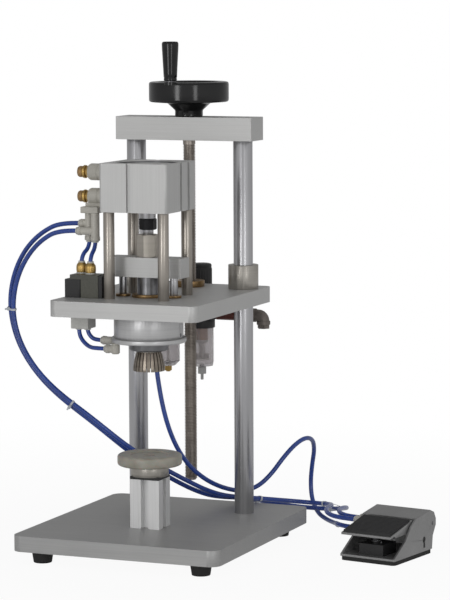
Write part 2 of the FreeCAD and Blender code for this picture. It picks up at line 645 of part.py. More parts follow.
def guide_rods():
    top = "%s + crossbarHeight * 0.6" % CROSSBAR_LEVEL
    piece("guide_rods", together([rod(x, y, top, "guideRodDiameter", "guideRodLength", "-Z")
                                  for x, y in GUIDES]))


def closing_sleeve():
    outer = "sleeveDiameter / 2"
    stem = "stemDiameter / 2"
    stem_top = "%s - sleeveLevel" % CROSSBAR_LEVEL
    body = turned("ClosingSleeve", [
        ("sleeveBore / 2", "0"), (outer + " - 1.5", "0"), (outer, "1.5"), (outer, "sleeveHeight"),
        (stem, "sleeveHeight"), (stem, stem_top), ("spigotDiameter / 2", stem_top),
        ("spigotDiameter / 2", stem_top + " + crossbarHeight * 0.4"), ("0", stem_top + " + crossbarHeight * 0.4"),
        ("0", "sleeveHeight - sleeveRoof"), ("sleeveBore / 2", "sleeveHeight - sleeveRoof")],
        "0", "pressRow", "sleeveLevel")
    wide = "(pinDiameter + 0.6)"
    slot = block("-(sleeveDiameter) / 2 - 1", "pressRow - %s / 2" % wide, "pinLevel - %s / 2" % wide,
                 "sleeveDiameter + 2", wide, "%s + crimpStroke" % wide)
    piece("closing_sleeve", cut(body, [slot]))


# Crimping head

def head_cylinder():
    tube = rod("0", "pressRow", HEAD_LEVEL, "headDiameter", "headHeight")
    bore = rod("0", "pressRow", HEAD_LEVEL, "headDiameter - 2 * headWall", "headHeight")
    pins = rod("-(headDiameter) / 2 - 1", "pressRow", "pinLevel", "pinDiameter", "headDiameter + 2", "X")
    piece("head_cylinder", cut(tube, [bore, pins]))


def head_ring():
    outer = "ringDiameter / 2"
    bore = "(sleeveDiameter / 2 + runningGap)"
    piece("head_ring", turned("HeadRing", [
        (bore, "0"), (outer + " - 1", "0"), (outer, "1"), (outer, "ringHeight - 1"),
        (outer + " - 1", "ringHeight"), (bore, "ringHeight")], "0", "pressRow", RING_LEVEL))


def collet():
    shank = "colletShank / 2"
    mouth = "colletMouth / 2"
    body = doc.addObject("PartDesign::Body", "Collet")
    profile = outline(body, "ColletProfile", "XZ_Plane", [
        (mouth + " - fingerWall", "0"), (mouth, "0"), (mouth + " - 0.4", "fingerLength * 0.24"),
        (mouth + " - 1.5", "fingerLength * 0.5"), (mouth + " - 3.2", "fingerLength * 0.8"),
        (shank, "fingerLength"), (shank, "colletHeight"), (shank + " - 5", "colletHeight"),
        (shank + " - 5", "fingerLength"), (mouth + " - 3.2 - fingerWall", "fingerLength * 0.75"),
        (mouth + " - fingerWall - 1", "fingerLength * 0.3")])
    turn = body.newObject("PartDesign::Revolution", "ColletTurn")
    turn.Profile = profile
    turn.ReferenceAxis = (profile, ["V_Axis"])
    turn.Angle = 360
    slit = outline(body, "ColletSlit", "XZ_Plane", [
        ("-(fingerSlit) / 2", "-1"), ("fingerSlit / 2", "-1"), ("fingerSlit / 2", "fingerLength"),
        ("-(fingerSlit) / 2", "fingerLength")])
    gap = body.newObject("PartDesign::Pocket", "ColletGap")
    gap.Profile = slit
    bind(gap, "Length", "colletMouth")
    fan = body.newObject("PartDesign::PolarPattern", "ColletFan")
    fan.Originals = [gap]
    fan.Axis = (profile, ["V_Axis"])
    fan.Angle = 360
    bind(fan, "Occurrences", "fingerCount")
    body.Tip = fan
    put(body, "0", "pressRow", "colletLevel")
    pins = rod("-(colletShank)", "pressRow", "pinLevel", "pinDiameter", "2 * colletShank", "X")
    piece("collet", cut(body, [pins]))


def collet_pins():
    inner = "(colletShank / 2 - 5)"
    length = "headDiameter / 2 - %s" % inner
    pins = [rod(inner, "pressRow", "pinLevel", "pinDiameter", length, "X"),
            rod("-1 * %s" % inner, "pressRow", "pinLevel", "pinDiameter", length, "-X")]
    piece("collet_pins", together(pins))


# Valve, fittings and silencers on the platform

PORTS = ("silencerRow", "lowerPortRow")
TEES = [("-78", "-50"), ("-66", "-58")]
VALVE_PORTS = [("-82", "-65"), ("-67", "-71")]
TEE_LEVEL = "400"
ARM_LEVELS = ["421", "412"]
ARM_REACH = ["12", "24"]


def brass_fittings():
    parts = []
    for level in PORTS:
        stem = rod("-(cylinderSide) / 2 + 5", "pressRow", level, "portDiameter",
                   "silencerReach + 5 - silencerLength", "-X")
        head = rod("-(cylinderSide) / 2 - silencerReach + silencerLength", "pressRow", level,
                   "silencerDiameter", "silencerLength - 4", "-X")
        knob = rod("-(cylinderSide) / 2 - silencerReach + 4", "pressRow", level, "silencerDiameter - 4",
                   "4", "-X")
        parts.append(joined([stem, head, knob]))
    for x, y in VALVE_PORTS:
        nut = hexagon(x, y, VALVE_TOP, "hoseFittingDiameter - 1", "hoseFittingHeight * 0.55", 0)
        sleeve = rod(x, y, VALVE_TOP, "hoseFittingDiameter - 3", "hoseFittingHeight")
        parts.append(joined([nut, sleeve]))
    plug = "%s - 1 * 8.5" % OIL_BOTTOM
    parts.append(hexagon(LUBRICATOR_AT, UNIT_ROW, plug, "9", "8.5", 0))
    piece("brass_fittings", together(parts))


OIL_BOTTOM = "(unitLevel - collarHeight - bowlLength - 2)"
ELBOWS = [("-43", "-60", "274.5", "13"), ("-33", "-72", "265.5", "13")]
SUPPLY_AT = ("-24", "25")


def push_in_fittings():
    parts = []
    collars = [cut(rod("-(cylinderSide) / 2 - silencerReach + silencerLength", "pressRow", level,
                       "fittingDiameter", "fittingLength", "X"),
                   [rod("-(cylinderSide) / 2 - silencerReach + silencerLength", "pressRow", level,
                        "portDiameter + clearance", "fittingLength", "X")]) for level in PORTS]
    parts.append(collars[0])
    legs = []
    for (x, y), level, reach in zip(TEES, ARM_LEVELS, ARM_REACH):
        legs.append(rod(x, y, TEE_LEVEL, "teeBoss", "42"))
        legs.append(rod(x, y, level, "teeArm", reach, "-X"))
    bridge = block("-84", "-64", "435", "24", "24", "8")
    neck = block("-84", "pressRow - 7", "440", "24", "12", "lowerPortRow - fittingDiameter / 2 + 1.2 - 440")
    trim = rod("-(cylinderSide) / 2 - silencerReach", "pressRow", "lowerPortRow",
               "portDiameter + clearance", "silencerReach", "X")
    parts.append(cut(joined([collars[1], bridge, neck] + legs), [trim]))
    for number_of, (x, y, z, reach) in enumerate(ELBOWS):
        arm = rod(x, y, z, "hoseDiameter + 5", reach, "-X")
        if number_of == 0:
            seat = rod("0", "pressRow", "%s - 10" % RING_LEVEL, "ringDiameter", "20 + ringHeight")
            parts.append(cut(joined([arm, rod(x, y, z, "hoseDiameter + 4", "8", "X")]), [seat]))
        else:
            riser = rod(x, y, z, "hoseDiameter + 4", "%s - %s" % (RING_LEVEL, z))
            ball = rod(x, y, "%s - 6.5" % z, "hoseDiameter + 5", "13")
            parts.append(joined([arm, riser, ball]))
    x, y = SUPPLY_AT
    parts.append(rod(x, y, "platformLevel", "teeBoss", "10", "-Z"))
    piece("push_in_fittings", together(parts))


def valve_body():
    width = "valveBack - valveFront"
    core = block("valveLeft + valveCapLength", "valveFront", PLATFORM_TOP,
                 "valveRight - valveEndLength - valveLeft - valveCapLength", width, "valveHeight")
    ledge = block("valveLeft + 8", "valveFront", "%s + valveCapHeight" % PLATFORM_TOP,
                  "valveCapLength", width, "valveHeight - valveCapHeight")
    piece("valve_body", joined([core, ledge]))


def valve_end_caps():
    width = "valveBack - valveFront"
    left = rounded_plate("ValvePilot", "valveCapLength", width, "valveCapHeight", "3",
                         "valveLeft + valveCapLength / 2", "(valveFront + valveBack) / 2", PLATFORM_TOP)
    right = block("valveRight - valveEndLength", "valveFront + 1", PLATFORM_TOP,
                  "valveEndLength", width + " - 2", "valveHeight - 1")
    piece("valve_end_caps", together([left, right]))


MANIFOLD = ("-83", "-60")
MANIFOLD_LEVEL = "(platformLevel - manifoldHeight)"


def hose_manifold():
    x, y = MANIFOLD
    core = block("%s - manifoldSide / 2" % x, "%s - manifoldSide / 2" % y, MANIFOLD_LEVEL,
                 "manifoldSide", "manifoldSide", "manifoldHeight")
    piece("hose_manifold", core)


# Air preparation unit behind the platform

def air_unit_bodies():
    front = UNIT_ROW + " - unitDepth / 2"
    parts = []
    for x in ("regulatorAt", LUBRICATOR_AT):
        parts.append(block("%s - unitWidth / 2" % x, front, "unitLevel", "unitWidth", "unitDepth",
                           "unitHeight"))
    link = block("%s" % LUBRICATOR_AT, front + " + 8", "unitLevel + 6", "unitPitch", "unitDepth - 16",
                 "unitHeight - 16")
    bonnet = rod("regulatorAt", UNIT_ROW, "unitLevel + unitHeight", "knobDiameter + 4", "4")
    dome = rod(LUBRICATOR_AT, UNIT_ROW, "unitLevel + unitHeight", "18", "10")
    body = joined(parts + [link, bonnet, dome])
    wells = [rod(x, UNIT_ROW, "unitLevel", "bowlDiameter", "11") for x in ("regulatorAt", LUBRICATOR_AT)]
    wells.append(rod("regulatorAt", UNIT_ROW, "unitLevel + unitHeight - 6", "knobStem + 2 * runningGap", "10"))
    piece("air_unit_bodies", cut(body, wells))


def air_unit_bracket():
    piece("air_unit_bracket", block("%s" % LUBRICATOR_AT, PLATFORM_BACK, "platformLevel - 20", "unitPitch",
                                    "bracketThickness",
                                    "platformThickness + 18"))


def bowl_collars():
    rings = []
    for x in ("regulatorAt", LUBRICATOR_AT):
        ring = rod(x, UNIT_ROW, "unitLevel - collarHeight", "collarDiameter", "collarHeight")
        bore = rod(x, UNIT_ROW, "unitLevel - collarHeight", "bowlDiameter", "collarHeight")
        rings.append(cut(ring, [bore]))
    piece("bowl_collars", together(rings))


def bowl(label, x, bottom_height, tip, hole):
    """A clear bowl: a tube with a closed, tapered end and a neck up into the body."""
    outer = "bowlDiameter / 2"
    inner = "(bowlDiameter / 2 - bowlWall)"
    full = "collarHeight + bowlLength + 10 + %s" % bottom_height
    return turned(label, [
        (hole, "0"), (tip, "0"), (outer, "6"), (outer, full), (inner, full), (inner, "7"),
        (tip + " - 1", "3"), (hole, "3")], x, UNIT_ROW,
        "unitLevel - collarHeight - bowlLength - %s" % bottom_height)


def air_unit_bowls():
    filter_side = bowl("FilterBowl", "regulatorAt", "0", "bowlDiameter / 2 - 1", "2.6")
    oil_side = bowl("OilBowl", LUBRICATOR_AT, "2", "bowlDiameter / 2 - 6", "1")
    piece("air_unit_bowls", together([filter_side, oil_side]))


def filter_element():
    core = rod("regulatorAt", UNIT_ROW, "unitLevel + 11", "filterDiameter", "filterLength", "-Z")
    stem = rod("regulatorAt", UNIT_ROW, "unitLevel + 11 - filterLength", "filterDiameter - 6", "24", "-Z")
    baffle = rod("regulatorAt", UNIT_ROW, "unitLevel - 13 - filterLength", "filterDiameter + 5", "2", "-Z")
    piece("filter_element", joined([core, stem, baffle]))


def bowl_drain():
    low = "(unitLevel - collarHeight - bowlLength)"
    stem = rod("regulatorAt", UNIT_ROW, low + " - drainTravel", "5", "drainTravel + 3.5")
    knob = rod("regulatorAt", UNIT_ROW, low + " - drainTravel", "drainDiameter", "drainHeight", "-Z")
    nipple = rod("regulatorAt", UNIT_ROW, low + " - drainTravel - drainHeight", "4", "8", "-Z")
    piece("bowl_drain", joined([stem, knob, nipple]))


def regulator_knob():
    grip = "knobDiameter / 2"
    piece("regulator_knob", turned("RegulatorKnob", [
        ("0", "-8"), ("knobStem / 2", "-8"), ("knobStem / 2", "0"), (grip + " - 0.8", "0"), (grip, "1"), (grip, "knobHeight - 3"),
        (grip + " - 2", "knobHeight"), ("0", "knobHeight")],
        "regulatorAt", UNIT_ROW, "unitLevel + unitHeight + 4.2"))


def inlet_elbow():
    start = "(regulatorAt + unitWidth / 2)"
    nipple = rod(start, UNIT_ROW, "inletLevel", "nippleDiameter", "inletAt - %s" % start, "X")
    corner = rod("inletAt", UNIT_ROW, "inletLevel - inletDiameter / 2", "inletDiameter", "inletDiameter")
    nut = hexagon("inletAt", UNIT_ROW, "inletLevel - inletDiameter / 2 - inletNutHeight",
                  "inletDiameter - 3", "inletNutHeight", 0)
    bore = rod("inletAt", UNIT_ROW, "inletLevel - inletDiameter / 2 - inletNutHeight", "hoseDiameter + 2",
               "inletNutHeight + 6")
    piece("inlet_elbow", cut(joined([nipple, corner, nut]), [bore]))


# Foot pedal

def pedal_piece(node, thing):
    """A piece of the pedal, turned with the whole pedal about its left wall."""
    whole = together([thing])
    turn = number("pedalTurn")
    whole.Placement = FreeCAD.Placement(FreeCAD.Vector(), FreeCAD.Rotation(FreeCAD.Vector(0, 0, -1), turn))
    across = "(pedalAt - pedalWidth / 2)"
    bind(whole, ".Placement.Base.x", "%s - %s * cos(pedalTurn) - pedalPivot * sin(pedalTurn)" % (across, across))
    bind(whole, ".Placement.Base.y", "pedalPivot + %s * sin(pedalTurn) - pedalPivot * cos(pedalTurn)" % across)
    return piece(node, whole)


PEDAL_FLOOR = "(padThickness + pedalWall)"
PEDAL_LEFT = "(pedalAt - pedalWidth / 2)"
PEDAL_PORTS = [("pedalPivot + 7", "41"), ("pedalPivot - 7", "41"), ("pedalPivot", "29")]


def pedal_housing():
    wall = "pedalWall"
    shell = extruded("PedalShell", "YZ_Plane", [
        ("0", "padThickness"), ("0", PEDAL_FLOOR), ("cheekLowAt", "cheekLow"), ("cheekHighAt", "cheekHigh"),
        ("hoodAt", "hoodFront"), ("hoodBackAt", "pedalHeight"), ("hoodEndAt", "hoodEnd"),
        ("pedalLength", "heelTop"), ("pedalLength", "heelLow"), ("heelStepAt", "heelStep"),
        ("padLength", "padThickness")], "pedalWidth", "pedalAt", "pedalFront", "0")
    inside = extruded("PedalInside", "YZ_Plane", [
        ("-(pedalLength)", PEDAL_FLOOR), ("-(pedalLength)", "2 * pedalHeight"), ("hoodAt", "2 * pedalHeight"),
        ("hoodAt", "hoodFront - pedalWall"), ("hoodBackAt - 1", "pedalHeight - pedalWall"),
        ("hoodEndAt - pedalWall", "hoodEnd - pedalWall"), ("pedalLength - pedalWall", "heelTop - 1"),
        ("pedalLength - pedalWall", "heelLow + 1"), ("heelStepAt - pedalWall", "heelStep + 1"),
        ("padLength - pedalWall", PEDAL_FLOOR)],
        "pedalWidth - 2 * pedalWall", "pedalAt", "pedalFront", "0")
    pin = rod(PEDAL_LEFT, "pedalFront + hingeAt", "hingeLevel", "hingePin", "pedalWidth", "X")
    ports = [rod(PEDAL_LEFT, y, z, "pedalPort", wall, "X") for y, z in PEDAL_PORTS]
    right = "(pedalAt + pedalWidth / 2 - pedalWall)"
    keyhole = rod(right, "pedalFront + keyholeAt", "keyholeLevel", "keyholeDiameter", wall, "X")
    slot = block(right, "pedalFront + keyholeAt - keySlotWidth / 2", "keyholeLevel - keySlotDepth",
                 wall, "keySlotWidth", "keySlotDepth")
    pedal_piece("pedal_housing", cut(shell, [inside, pin, keyhole, slot] + ports))


def pedal_base_pad():
    pad = rounded_plate("PedalPad", "pedalWidth", "padLength", "padThickness", "2 * pedalWall",
                        "pedalAt", "pedalFront + padLength / 2", "0")
    pedal_piece("pedal_base_pad", pad)


def pedal_valve():
    core = block("pedalAt - valveBlockSide / 2", "pedalFront + valveBlockAt", PEDAL_FLOOR,
                 "valveBlockSide", "valveBlockSide", "valveBlockHeight")
    well = rod("pedalAt", "pedalFront + plungerAt", PEDAL_FLOOR + " + valveBlockFloor",
               "plungerDiameter + 2 * runningGap", "valveBlockHeight")
    pedal_piece("pedal_valve", cut(core, [well]))


TREADLE_WIDTH = "(pedalWidth - 2 * pedalWall - 2 * treadleGap)"
TREADLE_FRONT = "treadleFrontAt"
TREADLE_BACK = "(treadleFrontAt + treadleLength)"
TREADLE_RISE = "(treadleBack - treadleFront) / treadleLength"


def treadle_level(back_from_edge):
    """Height of the treadle's underside at a distance behind its front edge."""
    return "(treadleFront + %s * %s)" % (back_from_edge, TREADLE_RISE)


def treadle_plate():
    front, back = TREADLE_FRONT, TREADLE_BACK
    plate = extruded("TreadleSheet", "YZ_Plane", [
        (front, "treadleFront"), (front, "treadleFront + treadleSheet"), (back, "treadleBack + treadleSheet"),
        (back, "treadleBack")], TREADLE_WIDTH, "pedalAt", "pedalFront", "0")
    skirts = []
    for side in both("(%s - treadleSheet) / 2" % TREADLE_WIDTH):
        skirt = extruded("TreadleSkirt", "YZ_Plane", [
            (front + " + 10", treadle_level("10") + " + 1"), (back, "treadleBack + 1"),
            ("hingeAt + hingePin", "hingeLevel + 3.5"), ("hingeAt + hingePin", "hingeLevel - 2.5"),
            ("hingeAt - hingePin", "hingeLevel - 5"), ("hingeAt - pedalLength / 2", "hingeLevel - 4"),
            (front + " + 14", "treadleFront - 0.5")],
            "treadleSheet", "pedalAt + %s" % side, "pedalFront", "0")
        skirts.append(skirt)
    bore = rod(PEDAL_LEFT, "pedalFront + hingeAt", "hingeLevel",
               "hingePin + 2 * runningGap", "pedalWidth", "X")
    pedal_piece("treadle_plate", cut(joined([plate] + skirts), [bore]))


def treadle_pad():
    front, back = TREADLE_FRONT + " + 2", TREADLE_FRONT + " + 54"
    low, high = treadle_level("2") + " + treadleSheet", treadle_level("54") + " + treadleSheet"
    pedal_piece("treadle_pad", extruded("TreadlePad", "YZ_Plane", [
        (front, low), (front, low + " + padSheet"), (back, high + " + padSheet"), (back, high)],
        TREADLE_WIDTH + " - 4", "pedalAt", "pedalFront", "0"))


def pedal_hinge_pin():
    pin = rod(PEDAL_LEFT + " + 0.5", "pedalFront + hingeAt", "hingeLevel", "hingePin", "pedalWidth - 1", "X")
    pedal_piece("pedal_hinge_pin", pin)


def pedal_plunger():
    stem = rod("pedalAt", "pedalFront + plungerAt", "plungerFoot", "plungerDiameter", "plungerTop - plungerFoot")
    head = rod("pedalAt", "pedalFront + plungerAt", "plungerTop - plungerFlangeHeight", "plungerFlange",
               "plungerFlangeHeight")
    pedal_piece("pedal_plunger", joined([stem, head]))


def pedal_spring():
    foot = PEDAL_FLOOR + " + valveBlockHeight"
    height = "plungerTop - plungerFlangeHeight - %s" % ("(" + foot + ")")
    ring = rod("pedalAt", "pedalFront + plungerAt", foot, "springDiameter", height)
    bore = rod("pedalAt", "pedalFront + plungerAt", foot, "springBore", height)
    pedal_piece("pedal_spring", cut(ring, [bore]))


def pedal_fittings():
    parts = []
    for y, z in PEDAL_PORTS:
        stem = rod(PEDAL_LEFT + " + pedalWall", y, z, "pedalPort", "pedalWall", "-X")
        body = rod(PEDAL_LEFT, y, z, "pedalFittingDiameter", "pedalFittingLength", "-X")
        parts.append(joined([stem, body]))
    pedal_piece("pedal_fittings", together(parts))


# Air hoses: straight runs joined by tangent arcs

LOOP_OUTER = [(-90, -50, 421), (-118.1, -50, 421), (-144, -48, 408.9), (-165.7, -45.5, 391.1),
              (-182, -43, 368.3), (-192.6, -41, 342.4), (-197.3, -39, 314.7),
              (-195.1, -36.6, 286.7), (-186.3, -35.5, 260.1), (-172.2, -33.8, 235.8),
              (-154.6, -31.3, 214.1), (-134.4, -27.4, 194.9), (-113, -21.9, 177.5),
              (-92.1, -14.4, 160.3), (-72.8, -4.9, 142.2), (-54.8, 6.9, 124), (-37.3, 20.9, 107),
              (-20.5, 37.2, 91.4), (-4.9, 55.6, 77), (9.1, 76.2, 63.9), (21.6, 99.1, 53.5),
              (32.9, 124.1, 47.5), (43.7, 149.7, 43.1), (55.8, 174.4, 37), (71.1, 196.9, 30.1),
              (91.5, 215.1, 24), (117.2, 225.7, 20.8), (145.1, 225.8, 21.4), (168.1, 211, 26.1),
              (182.3, 187.7, 32.1), (189.5, 161.1, 37.5), (192.5, 138, 41.2), (196, 117, 42),
              (206, 99, 41.5), (221.6, 88.6, 41), (239.35, 85.46, 41)]
LOOP_INNER = [(-90, -58, 412), (-117.8, -58, 412), (-142.6, -57.2, 398.3), (-162.6, -53.4, 379.2),
              (-176.8, -52.3, 355.5), (-185.1, -51.2, 329), (-187, -50.2, 301.4),
              (-181.6, -49.1, 274.2), (-169.9, -47.7, 249.1), (-153.7, -45.5, 226.7),
              (-134.4, -42, 207), (-113.4, -36.9, 189.6), (-92.3, -29.9, 172.9), (-72.8, -21, 155.3),
              (-54.7, -9.9, 137.4), (-36.8, 3.5, 120.9), (-19.4, 18.9, 105.7), (-2.8, 36.2, 91.6),
              (12.3, 55.2, 78.1), (25.7, 75.9, 65.4), (37.1, 99.1, 55.4), (46.9, 124.3, 48.9),
              (57.3, 149.6, 43.9), (70.4, 173.6, 39.1), (88.4, 194.1, 34.8), (112.9, 206.5, 32),
              (140.2, 205.3, 31.8), (159.9, 186.8, 35.3), (170.2, 161.4, 39.4), (175.3, 137, 42.2),
              (179.7, 114, 43), (190, 92.5, 42), (209.3, 76.5, 41), (236.9, 71.67, 41)]
SUPPLY = [(-24, 25, 300), (-24, 25, 276.3), (-22.4, 25.2, 252.7), (-20.1, 25.6, 229.2),
          (-17, 26.2, 205.8), (-13.1, 27.5, 182.5), (-8.3, 30.1, 159.5), (-2.2, 34.9, 137.2),
          (5.4, 42.8, 116.2), (14.4, 54.5, 97.8), (24.5, 69.5, 82.6), (35.2, 86.8, 70.7),
          (46.2, 105.9, 62), (58.5, 126.5, 56.5), (72.5, 146, 60.5), (86.5, 159, 76.5),
          (99, 167, 96.5), (110, 182, 113), (117, 204, 120), (119, 227, 114.5), (115.2, 243.5, 97.5),
          (109.5, 249.5, 75.5), (107, 250, 51), (110.5, 246.5, 27.5), (124, 234, 12.2),
          (143, 218, 7.8), (159.5, 200.3, 8.2), (172, 180.7, 10.3), (180.7, 158.9, 13.5),
          (186.5, 137, 19.1), (191.2, 121.5, 24), (197.5, 105, 27.5), (207, 91, 28.7), (221.5, 81.5, 29),
          (238.08, 78.57, 29)]
SHORT = {
    "upper": [(-78, -50, 400), (-78, -50, 395.8), (-79.1, -54, 388.6), (-80.9, -61, 384.4),
              (-82, -65, 377.2), (-82, -65, 373)],
    "front": [(-66, -58, 400), (-66, -58, 396.1), (-66.3, -61.4, 389), (-66.7, -67.6, 384),
              (-67, -71, 376.9), (-67, -71, 373)],
    "long": [(-89, -60, 289), (-89, -60, 281), (-82.9, -61.7, 271.8), (-72.4, -64.6, 265.5),
             (-61, -72, 265.5), (-46, -72, 265.5)],
    "near": [(-77, -60, 289), (-77, -60, 285.1), (-73.1, -60, 278.4), (-66.4, -60, 274.5),
             (-56, -60, 274.5)],
}


SHARED_RUN = 0.45
FREE_END = 0.9


def hose(label, points, diameter):
    """A round hose swept along straight runs and the arcs that join them."""
    spots = [FreeCAD.Vector(*point) for point in points]
    edges = []
    start = spots[0]
    radii = []
    for before, here, after in zip(spots, spots[1:], spots[2:]):
        back = (before - here).normalize()
        ahead = (after - here).normalize()
        turn = math.pi - back.getAngle(ahead)
        if turn < 0.002:
            continue
        behind = (before - here).Length * (FREE_END if before is spots[0] else SHARED_RUN)
        beyond = (after - here).Length * (FREE_END if after is spots[-1] else SHARED_RUN)
        reach = min(behind, beyond)
        radius = reach / math.tan(turn / 2)
        radii.append(radius)
        middle = (back + ahead).normalize()
        centre = here + middle * (radius / math.cos(turn / 2))
        first = here + back * reach
        last = here + ahead * reach
        edges.append(Part.LineSegment(start, first).toShape())
        edges.append(Part.Arc(first, centre - middle * radius, last).toShape())
        start = last
    edges.append(Part.LineSegment(start, spots[-1]).toShape())
    path = Part.Wire(edges)
    girth = number("%s / 2" % diameter)
    section = Part.Wire([Part.makeCircle(girth, spots[0], spots[1] - spots[0])])
    solid = path.makePipeShell([section], True, False)
    made = doc.addObject("Part::Feature", label)
    made.Shape = solid
    expected = math.pi * girth ** 2 * path.Length
    print(label, "length %.0f" % path.Length, "least radius %.1f" % min(radii),
          "volume ratio %.4f" % (solid.Volume / expected))
    return made


def hoses():
    piece("loop_hose_outer", hose("LoopHoseOuter", LOOP_OUTER, "hoseDiameter"))
    piece("loop_hose_inner", hose("LoopHoseInner", LOOP_INNER, "hoseDiameter"))
    piece("supply_hose", hose("SupplyHose", SUPPLY, "hoseDiameter"))
    piece("short_hoses", together([hose("ShortHose" + name.title(), points, "linkHose")
                                   for name, points in SHORT.items()]))


BUILDERS = [
    base_plate, rubber_feet, frame_screws, guide_columns, top_beam, beam_bush, bottle_post, post_cap,
    plate_hub, bottle_plate, lead_screw, handwheel, handle_spindle, revolving_handle,
    platform_plate, column_bushes, lead_nut, platform_bushes, cylinder_pillars, cylinder_screws,
    cylinder_body, cylinder_end_cap, rod_guide, piston, piston_rod, lock_nut, rod_coupler, crossbar,
    guide_rods, closing_sleeve, head_cylinder, head_ring, collet, collet_pins, brass_fittings,
    push_in_fittings, valve_body, valve_end_caps, hose_manifold, air_unit_bodies, air_unit_bracket,
    bowl_collars, air_unit_bowls, filter_element, bowl_drain, regulator_knob, inlet_elbow,
    pedal_housing, pedal_base_pad, pedal_valve, treadle_plate, treadle_pad, pedal_hinge_pin,
    pedal_plunger, pedal_spring, pedal_fittings, hoses,
]

for make in BUILDERS:
    make()
doc.removeObject("Probe")
doc.recompute()

for thing in doc.Objects:
    bad = [state for state in thing.State if state in ("Invalid", "Error")]
    if bad:
        raise RuntimeError("%s (%s) failed: %s" % (thing.Name, thing.Label, thing.State))

os.makedirs("parts", exist_ok=True)
for node, thing in PARTS.items():
    shape = thing.Shape
    if shape.isNull() or not shape.isValid() or not shape.Solids:
        raise RuntimeError("%s has no valid solid" % node)
    shape.exportStep("parts/%s.step" % node)
    print("%-18s solids %2d volume %10.0f faces %3d" % (node, len(shape.Solids), shape.Volume, len(shape.Faces)))
print("nodes", len(PARTS))
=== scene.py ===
import math

import bmesh
import bpy
from mathutils import Matrix, Vector


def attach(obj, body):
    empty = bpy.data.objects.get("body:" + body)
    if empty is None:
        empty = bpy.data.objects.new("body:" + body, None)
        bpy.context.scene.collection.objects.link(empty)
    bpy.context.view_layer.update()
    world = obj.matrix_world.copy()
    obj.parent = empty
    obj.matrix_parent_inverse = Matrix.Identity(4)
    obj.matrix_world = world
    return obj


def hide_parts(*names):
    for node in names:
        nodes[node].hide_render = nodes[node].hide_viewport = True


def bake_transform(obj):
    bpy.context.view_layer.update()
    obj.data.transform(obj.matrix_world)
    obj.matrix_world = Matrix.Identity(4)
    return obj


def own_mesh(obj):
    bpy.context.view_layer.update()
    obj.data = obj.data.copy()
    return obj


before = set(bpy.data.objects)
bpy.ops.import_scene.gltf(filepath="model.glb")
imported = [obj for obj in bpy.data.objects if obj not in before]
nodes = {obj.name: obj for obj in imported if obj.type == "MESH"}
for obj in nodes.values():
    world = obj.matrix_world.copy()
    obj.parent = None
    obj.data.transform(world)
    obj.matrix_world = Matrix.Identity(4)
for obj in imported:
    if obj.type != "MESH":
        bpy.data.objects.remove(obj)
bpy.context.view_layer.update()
mm = 0.001
print("frame loaded,", len(nodes), "nodes")


camera = {
    "place": (1.4141, -3.2113, 0.7152),
    "yaw": 22.462,      # degrees, seen from the right of the front
    "pitch": 6.412,     # looking down
    "roll": -0.264,
    "lens": 166.28,
    "sensor": 36.0,
    "clip": (0.1, 60.0),
}


def addThing(name, data):
    made = bpy.data.objects.new(name, data)
    bpy.context.scene.collection.objects.link(made)
    return made


def makeCamera():
    data = bpy.data.cameras.new("camera")
    made = addThing("camera", data)
    data.sensor_fit = "VERTICAL"
    data.sensor_width = data.sensor_height = camera["sensor"]
    data.lens = camera["lens"]
    data.clip_start, data.clip_end = camera["clip"]
    turn = Matrix.Rotation(math.radians(camera["yaw"]), 4, "Z")
    turn = turn @ Matrix.Rotation(math.radians(90 - camera["pitch"]), 4, "X")
    turn = turn @ Matrix.Rotation(math.radians(camera["roll"]), 4, "Z")
    made.matrix_world = Matrix.Translation(camera["place"]) @ turn
    bpy.context.scene.camera = made


makeCamera()
print("camera set")


# a socket that takes part in Python expressions
class Wire:
    def __init__(self, shade, socket):
        self.shade, self.socket = shade, socket

    def maths(self, operation, *values):
        settings = {"operation": operation}
        return self.shade.node("ShaderNodeMath", settings, dict(enumerate(values)))

    def __add__(self, other):
        return self.maths("ADD", self, other)

    def __sub__(self, other):
        return self.maths("SUBTRACT", self, other)

    def __rsub__(self, other):
        return self.maths("SUBTRACT", other, self)

    def __mul__(self, other):
        return self.maths("MULTIPLY", self, other)

    __radd__, __rmul__ = __add__, __mul__

    def clamped(self):
        return self.shade.node("ShaderNodeClamp", {}, {"Value": self})


class Shade:
    def __init__(self, tree):
        self.tree = tree
        tree.nodes.clear()

    def node(self, kind, settings=None, inputs=None, out=0):
        made = self.tree.nodes.new(kind)
        for key, value in (settings or {}).items():
            setattr(made, key, value)
        for key, value in (inputs or {}).items():
            if isinstance(value, Wire):
                self.tree.links.new(value.socket, made.inputs[key])
            else:
                made.inputs[key].default_value = value
        return Wire(self, made.outputs[out]) if made.outputs else made

    def place(self, scale):
        here = self.node("ShaderNodeTexCoord", out="Object")
        return self.node("ShaderNodeVectorMath", {"operation": "MULTIPLY"}, {0: here, 1: scale})

    def noise(self, scale, stretch, detail):
        sockets = {"Vector": self.place(stretch), "Scale": scale, "Detail": detail}
        return self.node("ShaderNodeTexNoise", {}, sockets)

    def between(self, factor, first, second):      # 6, 7 and output 2 are a Mix node's colour sockets
        sockets = {0: factor, 6: first, 7: second}
        return self.node("ShaderNodeMix", {"data_type": "RGBA"}, sockets, out=2)

    def bump(self, height, depth):
        sockets = {"Height": height, "Distance": depth * mm, "Strength": 1.0}
        return self.node("ShaderNodeBump", {}, sockets)


def shown(red, green, blue):      # a colour as seen on a screen, 0 to 255
    line = [c / 255 for c in (red, green, blue)]
    line = [c / 12.92 if c <= 0.04045 else ((c + 0.055) / 1.055) ** 2.4 for c in line]
    return (*line, 1.0)


finishes = {}


def finish(name, sockets, build):
    material = bpy.data.materials.new(name)
    material.use_nodes = True
    shade = Shade(material.node_tree)
    surface = shade.node("ShaderNodeBsdfPrincipled", {}, {**sockets, **build(shade)})
    shade.node("ShaderNodeOutputMaterial", {}, {"Surface": surface})
    finishes[name] = material


